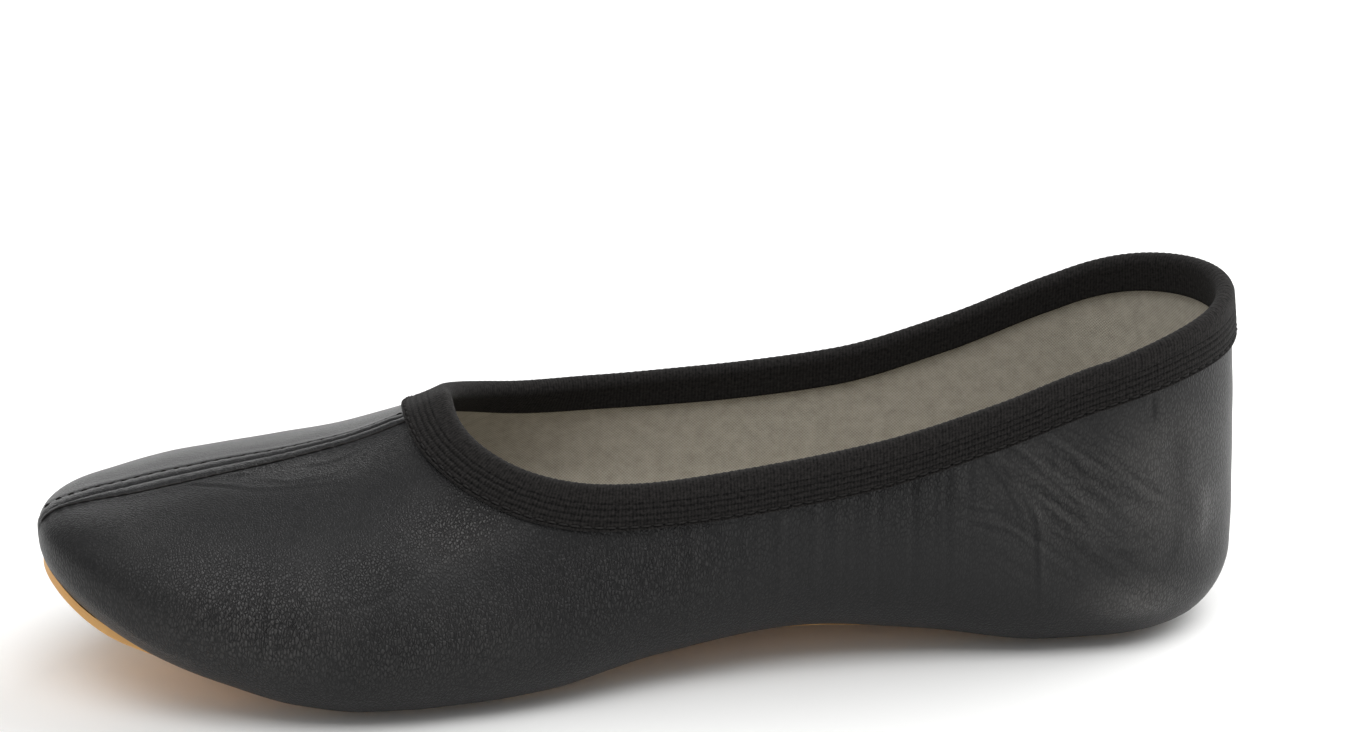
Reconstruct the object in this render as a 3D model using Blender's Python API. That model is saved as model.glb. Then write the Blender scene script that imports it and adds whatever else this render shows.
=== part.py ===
"""Slip-on gymnastics shoe for a right foot: leather upper, elastic collar, gum outsole and insole."""
import math
from collections import namedtuple

import bpy
import numpy as np

# Units: every size below is in millimetres, and MM turns it into metres when a mesh is made
MM = 0.001

# Main sizes of the shoe
LENGTH = 250.0
WALL = 1.6
GAP = 0.3
HEEL_CAP = 32.0
TOE_CAP = 34.0
TOE_CAP_POWER = 2.3
TOE_TOP_REACH = 0.76
EDGE_WIDTH = 10.0

# Sideways shift that puts the frame's origin under the middle of the shoe's box
FRAME_SHIFT = -0.43

# Lasting margin: the strip of leather turned in beneath the shoe
MARGIN_WIDTH = 10.0

# Sole and insole
SOLE_THICKNESS = 2.0
SOLE_CHAMFER = 0.4
SOLE_STEP_CLEAR = 0.6
INSOLE_THICKNESS = 1.5
INSOLE_INSET = 11.0

# Raised centre seam of the vamp
SEAM_HALF_WIDTH = 2.8
SEAM_SHOULDER = 0.6
SEAM_RAISE = 0.5
SEAM_START = 4.0
SEAM_FADE = 3.0

# Front of the opening, where the collar turns across the foot
THROAT_START = 130.0

# Elastic band folded over the top edge
BAND_WIDTH = 9.5
BAND_INSIDE_SHARE = 0.8
BAND_THICKNESS = 0.8
BAND_GAP = 0.35
LEATHER_BELOW_FOLD = 1.2

# Number of mesh columns along each side of the shoe, and of rows up its wall
HEEL_STEPS = 7
WAIST_STEPS = 12
THROAT_STEPS = 11
VAMP_STEPS = 8
TOE_STEPS = 9
LOWER_STEPS = 4
WALL_STEPS = 7

# Sections of the foot shape, by distance from the back of the heel.
# swing: sideways place of the middle line, inner side negative
# inner, outer: half widths; tread: height of the sole's underside; arch: lift at the inner edge
# widest: height of the widest line over the leather's underside; crest: height of the ridge
# fullness: squareness of the curve from the widest line to the ridge
Section = namedtuple("Section", "station swing inner outer tread arch widest crest fullness")
SECTIONS = (
    Section(0, 0.0, 29.0, 30.0, 0.5, 0.0, 13, 118, 3.0),
    Section(14, 0.0, 29.4, 30.2, 0.0, 0.0, 15, 116, 2.5),
    Section(42, 0.0, 29.6, 30.5, 0.0, 0.0, 18, 113, 2.1),
    Section(70, 0.0, 29.4, 31.4, 0.5, 5.0, 19, 109, 2.0),
    Section(95, 0.0, 30.5, 34.0, 1.2, 7.8, 19, 101, 1.9),
    Section(125, 0.0, 35.0, 38.5, 0.9, 4.8, 18, 83, 1.7),
    Section(150, 0.0, 41.0, 43.0, 0.2, 0.8, 17, 65, 1.5),
    Section(166, 0.0, 43.1, 44.6, 0.0, 0.0, 16.5, 55.5, 1.5),
    Section(176, -0.2, 43.9, 45.2, 0.0, 0.0, 16.0, 51.2, 1.6),
    Section(186, -0.5, 43.3, 44.7, 0.0, 0.0, 15.5, 48.0, 1.72),
    Section(200, -1.2, 41.2, 43.2, 1.8, 0.0, 14.5, 45.6, 1.85),
    Section(216, -2.4, 36.4, 39.0, 6.6, 0.0, 13, 43.5, 1.95),
    Section(236, -4.1, 30.2, 32.4, 14.0, 0.0, 10.3, 40.7, 2.35),
    Section(250, -5.6, 25.2, 30.8, 20.7, 0.0, 9.3, 38.2, 3.1),
)

# Height of the band's folded top edge on the inner side, how much lower the outer side runs,
# and the band's depth below the fold
Collar = namedtuple("Collar", "station height outer_drop depth")
COLLAR = (
    Collar(0, 71.2, 0.0, 10.4),
    Collar(14, 69.8, 0.4, 9.8),
    Collar(32, 66.2, 1.2, 9.4),
    Collar(56, 58.2, 2.2, 9.4),
    Collar(80, 52.0, 2.8, 9.6),
    Collar(108, 48.6, 2.8, 9.4),
    Collar(130, 47.4, 2.8, 8.8),
    Collar(180, 47.4, 2.8, 8.8),
)

# Lines round the throat, from the sides of the opening to its tip: the band's fold and lower edge.
# reach: how far the line runs towards the toe; squareness: how late it turns across the foot
ThroatLine = namedtuple("ThroatLine", "reach squareness")
FOLD_LINE = ThroatLine(34.5, 3.5)
LOWER_LINE = ThroatLine(44.0, 2.8)

# Distance of the sole's edge in from the widest outline
SoleEdge = namedtuple("SoleEdge", "station inset")
SOLE_EDGE = (
    SoleEdge(0, 13.5),
    SoleEdge(32, 15.0),
    SoleEdge(60, 17.0),
    SoleEdge(125, 17.0),
    SoleEdge(160, 15.0),
    SoleEdge(205, 15.0),
    SoleEdge(222, 14.4),
    SoleEdge(232, 12.4),
    SoleEdge(239, 9.6),
    SoleEdge(244, 5.6),
    SoleEdge(248, 1.5),
    SoleEdge(250, 0.8),
)

# Colours of the plain materials, linear RGB, with roughness
Finish = namedtuple("Finish", "material colour roughness")
LEATHER = Finish("black_leather", (0.022, 0.022, 0.023), 0.45)
ELASTIC = Finish("black_elastic", (0.012, 0.012, 0.012), 0.85)
GUM = Finish("gum_rubber", (0.50, 0.32, 0.14), 0.60)
COVER = Finish("cotton_cover", (0.48, 0.45, 0.39), 0.90)


def smooth_curve(rows, column):
    """Give a function of the station, smooth through one table column and without overshoot."""
    xs = [row.station for row in rows]
    ys = [getattr(row, column) for row in rows]
    spans = [b - a for a, b in zip(xs, xs[1:])]
    rises = [(b - a) / h for a, b, h in zip(ys, ys[1:], spans)]
    slopes = [rises[0]] + [0.0] * (len(xs) - 2) + [rises[-1]]
    for i in range(1, len(xs) - 1):
        before, after = rises[i - 1], rises[i]
        if before * after > 0:
            weight_a = 2 * spans[i] + spans[i - 1]
            weight_b = spans[i] + 2 * spans[i - 1]
            slopes[i] = (weight_a + weight_b) / (weight_a / before + weight_b / after)

    def value(station):
        place = min(max(station, xs[0]), xs[-1])
        i = max(k for k in range(len(spans)) if xs[k] <= place)
        q = (place - xs[i]) / spans[i]
        start = (1 + 2 * q) * (1 - q) ** 2 * ys[i] + q * (1 - q) ** 2 * spans[i] * slopes[i]
        end = q * q * (3 - 2 * q) * ys[i + 1] + q * q * (q - 1) * spans[i] * slopes[i + 1]
        return start + end

    return value


SHAPE = {name: smooth_curve(SECTIONS, name) for name in Section._fields[1:]}
COLLAR_CURVES = {name: smooth_curve(COLLAR, name) for name in Collar._fields[1:]}
SOLE_INSET = smooth_curve(SOLE_EDGE, "inset")
TOE_START = LENGTH - TOE_CAP


def half_width(station, side):
    """Half width of the outline on the inner (-1) or outer (+1) side, rounded off at heel and toe."""
    width = SHAPE["inner" if side < 0 else "outer"](station)
    if station < HEEL_CAP:
        return width * math.sqrt(max(0.0, 1 - (1 - station / HEEL_CAP) ** 2))
    if station > TOE_START:
        share = (station - TOE_START) / TOE_CAP
        return width * math.sqrt(max(0.0, 1 - share ** TOE_CAP_POWER))
    return width


def underside(station, across):
    """Height of the leather's underside; across runs from -1 at the inner edge to +1 at the outer."""
    lift = SHAPE["arch"](station) * ((1 - across) / 2) ** 2
    return SHAPE["tread"](station) + lift + SOLE_THICKNESS + GAP


def low_middle(station):
    """Station of the middle point that a column's underside runs to; ends fan about one point."""
    return min(max(station, HEEL_CAP), TOE_START)


def top_middle(station):
    """Station of the ridge point that a column's wall runs to."""
    if station > TOE_START:
        return TOE_START + (station - TOE_START) * TOE_TOP_REACH
    return max(station, HEEL_CAP)


def low_point(station, side, inset):
    """Point of the leather's underside at a distance in from the widest outline."""
    middle = low_middle(station)
    sideways = side * half_width(station, side)
    reach = math.hypot(station - middle, sideways)
    share = max(0.0, 1 - inset / reach)
    here = middle + (station - middle) * share
    turn = 1 - min(inset / EDGE_WIDTH, 1.0)
    rise = SHAPE["widest"](station) * (1 - math.sqrt(1 - turn * turn))
    centre = SHAPE["swing"](station) * share + SHAPE["swing"](middle) * (1 - share)
    return (here, centre + sideways * share, underside(here, side * share) + rise)


def wall_point(station, side, angle):
    """Point of the wall, from the widest line (angle 0) to the ridge (angle 90 degrees)."""
    middle = top_middle(station)
    fullness = SHAPE["fullness"](station)
    share = max(0.0, math.cos(angle)) ** (2 / fullness)
    climb = max(0.0, math.sin(angle)) ** (2 / fullness)
    here = middle + (station - middle) * share
    low = underside(station, side) + SHAPE["widest"](station)
    centre = SHAPE["swing"](station) * share + SHAPE["swing"](middle) * (1 - share)
    height = low + (SHAPE["crest"](here) - low) * climb
    return (here, centre + side * half_width(station, side) * share, height)


def angle_at_height(station, side, height):
    """Angle at which the wall reaches a height."""
    low = underside(station, side) + SHAPE["widest"](station)
    climb = (height - low) / (SHAPE["crest"](top_middle(station)) - low)
    return math.asin(climb ** (SHAPE["fullness"](station) / 2))


def throat_line(share):
    """Throat line at a share of the band's depth: 0 at its fold, 1 at its lower edge."""
    pairs = zip(FOLD_LINE, LOWER_LINE)
    return ThroatLine(*(fold + (lower - fold) * share for fold, lower in pairs))


def edge_angle(station, side, share):
    """Wall angle of the line round the opening at a share of the band's depth."""
    line = throat_line(share)
    along = (station - THROAT_START) / line.reach
    if along >= 1:
        return math.pi / 2
    height = COLLAR_CURVES["height"](station) - COLLAR_CURVES["depth"](station) * share
    if side > 0:
        height -= COLLAR_CURVES["outer_drop"](station)
    angle = angle_at_height(station, side, height)
    turn = 1 - (1 - max(along, 0.0) ** line.squareness) ** (1 / line.squareness)
    return angle + (math.pi / 2 - angle) * turn


def frame_point(point):
    """Turn a (station, sideways, height) point into the shoe's frame, toe towards -X."""
    station, sideways, height = point
    return (LENGTH / 2 - station, sideways + FRAME_SHIFT, height)


def side_stations():
    """Stations of the mesh columns along one side, from the heel's back to the toe's tip."""
    quarter = math.pi / 2
    throat_reach = throat_line(LEATHER_BELOW_FOLD / BAND_WIDTH).reach
    heel = [HEEL_CAP * (1 - math.cos(quarter * i / HEEL_STEPS)) for i in range(HEEL_STEPS)]
    waist = np.linspace(HEEL_CAP, THROAT_START, WAIST_STEPS + 1)[:-1]
    turns = [quarter * i / THROAT_STEPS for i in range(THROAT_STEPS)]
    throat = [THROAT_START + throat_reach * math.sin(turn) for turn in turns]
    vamp = np.linspace(THROAT_START + throat_reach, TOE_START, VAMP_STEPS + 1)[:-1]
    toe = [TOE_START + TOE_CAP * math.sin(quarter * i / TOE_STEPS) for i in range(TOE_STEPS + 1)]
    return heel + list(waist) + throat + list(vamp) + toe


def loop_columns(stations):
    """Columns round the shoe: up the outer side from heel to toe, back down the inner side."""
    outer = [(station, 1) for station in stations]
    inner = [(station, -1) for station in stations[-2:0:-1]]
    return outer + inner


def by_length(points, distances_from_end, count):
    """Points of a curve: count even ones, then ones at the given distances before its end."""
    curve = np.array(points)
    steps = np.linalg.norm(np.diff(curve, axis=0), axis=1)
    run = np.concatenate(([0.0], np.cumsum(steps)))
    ends = [run[-1] - distance for distance in distances_from_end]
    places = list(np.linspace(0.0, ends[0], count + 1)[:-1]) + ends
    return [tuple(np.interp(place, run, curve[:, k]) for k in range(3)) for place in places]


def grid_normals(grid):
    """Outward normals of a grid of points whose first direction runs round a closed loop."""
    around = np.roll(grid, -1, axis=0) - np.roll(grid, 1, axis=0)
    up = np.gradient(grid, axis=1)
    normals = np.cross(around, up)
    return normals / np.linalg.norm(normals, axis=2, keepdims=True)


def new_object(name, vertices, faces, finish):
    """Make one smooth-shaded solid with its own material from points in millimetres."""
    mesh = bpy.data.meshes.new(name)
    mesh.from_pydata([tuple(value * MM for value in point) for point in vertices], [], faces)
    mesh.validate()
    material = bpy.data.materials.new(finish.material)
    material.use_nodes = True
    shader = material.node_tree.nodes["Principled BSDF"]
    shader.inputs["Base Color"].default_value = (*finish.colour, 1.0)
    shader.inputs["Roughness"].default_value = finish.roughness
    mesh.materials.append(material)
    mesh.shade_smooth()
    solid = bpy.data.objects.new(name, mesh)
    bpy.context.scene.collection.objects.link(solid)
    return solid


class Weld:
    """Collects points, giving the same number to points that share one place."""

    def __init__(self):
        self.numbers = {}
        self.points = []

    def number(self, point):
        key = tuple(round(float(value), 4) + 0.0 for value in point)
        if key not in self.numbers:
            self.numbers[key] = len(self.points)
            self.points.append(key)
        return self.numbers[key]

    def face(self, corners):
        numbers = []
        for corner in corners:
            number = self.number(corner)
            if number not in numbers:
                numbers.append(number)
        return tuple(numbers)


def seam_raise(point):
    """Height of the raised seam over the plain leather at a point of the shoe's frame."""
    station = LENGTH / 2 - point[0]
    off_middle = abs(point[1] - FRAME_SHIFT - SHAPE["swing"](top_middle(min(station, LENGTH))))
    across = min(max((SEAM_HALF_WIDTH + SEAM_SHOULDER - off_middle) / SEAM_SHOULDER, 0.0), 1.0)
    band_end = THROAT_START + LOWER_LINE.reach
    ahead = min(max((station - band_end - SEAM_START) / SEAM_FADE, 0.0), 1.0)
    widest_line = underside(station, 0) + SHAPE["widest"](station)
    above = min(max((point[2] - widest_line) / SEAM_FADE, 0.0), 1.0)
    return SEAM_RAISE * across * ahead * above


def edge_insets():
    """Insets of the rows up the rounded lower edge, from its inner end towards the widest line."""
    turns = [math.pi / 2 * (1 - step / LOWER_STEPS) for step in range(LOWER_STEPS)]
    return [EDGE_WIDTH * (1 - math.cos(turn)) for turn in turns]


def upper_column(station, side):
    """Points of the leather's outer face from the margin's edge up to the opening or the ridge."""
    insets = [EDGE_WIDTH + MARGIN_WIDTH] + edge_insets()
    low = [low_point(station, side, inset) for inset in insets]
    top = edge_angle(station, side, LEATHER_BELOW_FOLD / BAND_WIDTH)
    wall = [wall_point(station, side, top * i / 80) for i in range(81)]
    length = float(np.linalg.norm(np.diff(np.array(wall), axis=0), axis=1).sum())
    slant = math.hypot(station - top_middle(station), half_width(station, side))
    stretch = slant / max(half_width(station, side), slant / 4)
    stretch = min(stretch, 0.45 * length / (SEAM_HALF_WIDTH + SEAM_SHOULDER))
    marks = (SEAM_HALF_WIDTH + SEAM_SHOULDER, SEAM_HALF_WIDTH, SEAM_HALF_WIDTH / 2, 0.0)
    rows = low + by_length(wall, [mark * stretch for mark in marks], WALL_STEPS)
    return [frame_point(point) for point in rows]


def strip_faces(weld, columns):
    """Faces between neighbouring columns of a closed loop of columns."""
    faces = []
    for column, following in zip(columns, columns[1:] + columns[:1]):
        for k in range(len(column) - 1):
            face = weld.face((column[k], following[k], following[k + 1], column[k + 1]))
            if len(face) > 2:
                faces.append(face)
    return faces


def point_normals(points, faces):
    """Average outward direction of the faces that meet at each point."""
    total = np.zeros_like(points)
    for face in faces:
        corners = points[list(face)]
        normal = np.cross(corners[2] - corners[0], corners[-1] - corners[1])
        for number in face:
            total[number] += normal
    return total / np.linalg.norm(total, axis=1, keepdims=True)


def border_faces(faces, count):
    """Faces that join the open border of a sheet to that of a second sheet numbered after it."""
    edges = set()
    for face in faces:
        edges.update(zip(face, face[1:] + face[:1]))
    border = [(a, b) for a, b in edges if (b, a) not in edges]
    return [(b, a, a + count, b + count) for a, b in sorted(border)]


def build_upper():
    """Leather shell: the outer face of the foot shape and a lining face one wall inside it."""
    weld = Weld()
    columns = [upper_column(*place) for place in loop_columns(side_stations())]
    faces = strip_faces(weld, columns)
    points = np.array(weld.points)
    normals = point_normals(points, faces)
    raised = np.array([seam_raise(point) for point in points])
    outside = points + normals * raised[:, None]
    inside = points - normals * WALL
    count = len(points)
    lining = [tuple(number + count for number in reversed(face)) for face in faces]
    rims = border_faces(faces, count)
    return new_object("upper", np.concatenate((outside, inside)), faces + lining + rims, LEATHER)


def band_column(station, side, turn, shares):
    """Points of the leather's face under the band, from the band's lower edge to its fold."""
    upper_place = station + FOLD_LINE.reach * math.sin(turn)
    lower_place = station + LOWER_LINE.reach * math.sin(turn)
    upper_angle = edge_angle(upper_place, side, 0.0)
    lower_angle = edge_angle(lower_place, side, 1.0)
    column = []
    for share in shares:
        place = lower_place + (upper_place - lower_place) * share
        angle = lower_angle + (upper_angle - lower_angle) * share
        column.append(frame_point(wall_point(place, side, angle)))
    return column


def band_places():
    """Station, side and throat turn of the band's columns, once round the opening."""
    quarter = math.pi / 2
    heel = [HEEL_CAP * (1 - math.cos(quarter * i / HEEL_STEPS)) for i in range(HEEL_STEPS)]
    waist = np.linspace(HEEL_CAP, THROAT_START, WAIST_STEPS + 1)[:-1]
    sides = [(station, 0.0) for station in heel + list(waist)]
    throat = [(THROAT_START, quarter * i / THROAT_STEPS) for i in range(THROAT_STEPS + 1)]
    places = sides + throat
    outer = [(station, 1, turn) for station, turn in places]
    inner = [(station, -1, turn) for station, turn in places[-2:0:-1]]
    return outer + inner


def band_profile():
    """Outline of the band's cut: share of the band's width, and distance out from the leather."""
    out = BAND_GAP + BAND_THICKNESS
    back = -WALL - BAND_GAP
    inside = back - BAND_THICKNESS
    roof = 1 - (LEATHER_BELOW_FOLD - BAND_GAP) / BAND_WIDTH
    foot = 1 - BAND_INSIDE_SHARE
    shoulder = 1 - BAND_THICKNESS / BAND_WIDTH
    outer_leg = [(0.0, out), (0.32, out), (0.64, out), (shoulder, out), (1.0, BAND_GAP)]
    inner_leg = [(1.0, back), (shoulder, inside), (0.6, inside), (foot, inside)]
    hollow_back = [(foot, back), (0.6, back), (roof, back)]
    hollow_front = [(roof, BAND_GAP), (0.64, BAND_GAP), (0.32, BAND_GAP), (0.0, BAND_GAP)]
    return outer_leg + inner_leg + hollow_back + hollow_front


def build_collar():
    """Elastic band, folded over the leather's top edge all round the opening."""
    profile = band_profile()
    shares = [share for share, _ in profile]
    halves = (0.0, 0.5, 1.0)
    grid = np.array([band_column(*place, shares) for place in band_places()])
    normals = grid_normals(np.array([band_column(*place, halves) for place in band_places()]))
    lean = [np.interp(share, halves, (0, 1, 2)) for share in shares]
    columns = []
    for points, directions in zip(grid, normals):
        column = []
        for point, place, (_, distance) in zip(points, lean, profile):
            low = int(min(place, 1))
            direction = directions[low] + (directions[low + 1] - directions[low]) * (place - low)
            column.append(tuple(point + direction / np.linalg.norm(direction) * distance))
        columns.append(column + column[:1])
    weld = Weld()
    faces = strip_faces(weld, columns)
    return new_object("collar_elastic", weld.points, faces, ELASTIC)


def lifted(station, side, inset, lift):
    """Point of the leather's underside moved up by a lift."""
    here, sideways, height = low_point(station, side, inset)
    return frame_point((here, sideways, height + lift))


def sole_column(station, side):
    """Outline of half a cut through the sole, from the middle of its tread to the middle of its top."""
    reach = math.hypot(station - low_middle(station), half_width(station, side))
    edge = SOLE_INSET(station)
    step = EDGE_WIDTH + MARGIN_WIDTH + SOLE_STEP_CLEAR
    between = (reach + step) / 2
    rows = [max(inset, edge + SOLE_CHAMFER * (4 - k)) for k, inset in enumerate(edge_insets()[:3])]
    rows.insert(0, step)
    tread = -GAP - SOLE_THICKNESS
    column = [lifted(station, side, inset, tread) for inset in [reach, between] + rows]
    column.append(lifted(station, side, edge + SOLE_CHAMFER, tread))
    column.append(lifted(station, side, edge, tread + SOLE_CHAMFER))
    column.append(lifted(station, side, edge, -GAP))
    column += [lifted(station, side, inset, -GAP) for inset in reversed(rows)]
    column += [lifted(station, side, inset, WALL) for inset in (step + GAP, between, reach)]
    return column


def build_outsole():
    """Gum sole: a thin sheet under the shoe with a raised middle that fills the upper's opening."""
    weld = Weld()
    columns = [sole_column(*place) for place in loop_columns(side_stations())]
    faces = strip_faces(weld, columns)
    return new_object("outsole", weld.points, faces, GUM)


def insole_column(station, side):
    """Outline of half a cut through the insole, from the middle below to the middle on top."""
    reach = math.hypot(station - low_middle(station), half_width(station, side))
    between = (reach + INSOLE_INSET) / 2
    low = WALL + GAP
    top = low + INSOLE_THICKNESS
    column = [lifted(station, side, inset, low) for inset in (reach, between, INSOLE_INSET)]
    column += [lifted(station, side, inset, top) for inset in (INSOLE_INSET, between, reach)]
    return column


def build_insole():
    """Thin cover that lies on the lasting margin inside the shoe."""
    weld = Weld()
    columns = [insole_column(*place) for place in loop_columns(side_stations())]
    faces = strip_faces(weld, columns)
    return new_object("insole", weld.points, faces, COVER)


def main():
    """Clear the scene and build the four pieces."""
    for old in list(bpy.data.objects):
        bpy.data.objects.remove(old, do_unlink=True)
    build_upper()
    build_collar()
    build_outsole()
    build_insole()


main()
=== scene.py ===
"""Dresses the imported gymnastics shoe: leather, elastic band, stitching, gum sole, cotton inside, stage."""

import math
from collections import namedtuple
from functools import partial

import bpy
import numpy as np
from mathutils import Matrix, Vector, noise
from mathutils.bvhtree import BVHTree


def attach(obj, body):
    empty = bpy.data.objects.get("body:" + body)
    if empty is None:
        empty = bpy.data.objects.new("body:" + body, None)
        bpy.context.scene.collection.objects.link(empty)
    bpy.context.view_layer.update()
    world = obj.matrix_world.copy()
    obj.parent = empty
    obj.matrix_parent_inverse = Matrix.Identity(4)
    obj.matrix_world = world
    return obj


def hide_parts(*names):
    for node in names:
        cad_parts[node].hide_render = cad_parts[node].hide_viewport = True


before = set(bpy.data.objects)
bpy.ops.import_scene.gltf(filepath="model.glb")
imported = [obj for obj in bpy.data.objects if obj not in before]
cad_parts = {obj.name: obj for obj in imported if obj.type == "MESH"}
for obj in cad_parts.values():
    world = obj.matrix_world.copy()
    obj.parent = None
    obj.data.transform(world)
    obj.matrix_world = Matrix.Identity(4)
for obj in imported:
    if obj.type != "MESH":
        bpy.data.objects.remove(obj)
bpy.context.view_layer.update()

bl_info = {
    "name": "Gymnastics shoe",
    "version": (1, 0, 0),
    "blender": (4, 5, 0),
    "location": "View3D > Sidebar > Shoe",
    "description": "Dresses a slip-on gymnastics shoe in leather, elastic, gum rubber and cotton",
    "category": "Object",
}

# Sizes are in millimetres, and MM turns them into metres when a mesh is made
MM = 0.001

# Main sizes of the shoe, as in the solids
LENGTH = 250.0
WALL = 1.6
GAP = 0.3
HEEL_CAP = 32.0
TOE_CAP = 34.0
TOE_CAP_POWER = 2.3
TOE_TOP_REACH = 0.76
TOE_START = LENGTH - TOE_CAP
EDGE_WIDTH = 10.0
MARGIN_WIDTH = 10.0
FRAME_SHIFT = -0.43
SOLE_THICKNESS = 2.0
SOLE_CHAMFER = 0.4
SOLE_STEP_CLEAR = 0.6
INSOLE_THICKNESS = 1.5
INSOLE_INSET = 11.0
THROAT_START = 130.0
BAND_WIDTH = 9.5
BAND_INSIDE_SHARE = 0.8
BAND_THICKNESS = 0.8
BAND_GAP = 0.35
LEATHER_BELOW_FOLD = 1.2
LEATHER_SHARE = LEATHER_BELOW_FOLD / BAND_WIDTH

# Layers of the upper: the leather and the cotton lining stuck inside it
LEATHER_THICKNESS = 0.9
LINING_START = 1.0

# Sections of the foot shape by distance from the back of the heel, as in the solids
Section = namedtuple("Section", "station swing inner outer tread arch widest crest fullness")
SECTIONS = (
    Section(0, 0.0, 29.0, 30.0, 0.5, 0.0, 13, 118, 3.0),
    Section(14, 0.0, 29.4, 30.2, 0.0, 0.0, 15, 116, 2.5),
    Section(42, 0.0, 29.6, 30.5, 0.0, 0.0, 18, 113, 2.1),
    Section(70, 0.0, 29.4, 31.4, 0.5, 5.0, 19, 109, 2.0),
    Section(95, 0.0, 30.5, 34.0, 1.2, 7.8, 19, 101, 1.9),
    Section(125, 0.0, 35.0, 38.5, 0.9, 4.8, 18, 83, 1.7),
    Section(150, 0.0, 41.0, 43.0, 0.2, 0.8, 17, 65, 1.5),
    Section(166, 0.0, 43.1, 44.6, 0.0, 0.0, 16.5, 55.5, 1.5),
    Section(176, -0.2, 43.9, 45.2, 0.0, 0.0, 16.0, 51.2, 1.6),
    Section(186, -0.5, 43.3, 44.7, 0.0, 0.0, 15.5, 48.0, 1.72),
    Section(200, -1.2, 41.2, 43.2, 1.8, 0.0, 14.5, 45.6, 1.85),
    Section(216, -2.4, 36.4, 39.0, 6.6, 0.0, 13, 43.5, 1.95),
    Section(236, -4.1, 30.2, 32.4, 14.0, 0.0, 10.3, 40.7, 2.35),
    Section(250, -5.6, 25.2, 30.8, 20.7, 0.0, 9.3, 38.2, 3.1),
)
Collar = namedtuple("Collar", "station height outer_drop depth")
COLLAR = (
    Collar(0, 71.2, 0.0, 10.4),
    Collar(14, 69.8, 0.4, 9.8),
    Collar(32, 66.2, 1.2, 9.4),
    Collar(56, 58.2, 2.2, 9.4),
    Collar(80, 52.0, 2.8, 9.6),
    Collar(108, 48.6, 2.8, 9.4),
    Collar(130, 47.4, 2.8, 8.8),
    Collar(180, 47.4, 2.8, 8.8),
)
ThroatLine = namedtuple("ThroatLine", "reach squareness")
FOLD_LINE = ThroatLine(34.5, 3.5)
LOWER_LINE = ThroatLine(44.0, 2.8)
SoleEdge = namedtuple("SoleEdge", "station inset")
SOLE_EDGE = (
    SoleEdge(0, 13.5),
    SoleEdge(32, 15.0),
    SoleEdge(60, 17.0),
    SoleEdge(125, 17.0),
    SoleEdge(160, 15.0),
    SoleEdge(205, 15.0),
    SoleEdge(222, 14.4),
    SoleEdge(232, 12.4),
    SoleEdge(239, 9.6),
    SoleEdge(244, 5.6),
    SoleEdge(248, 1.5),
    SoleEdge(250, 0.8),
)

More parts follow.
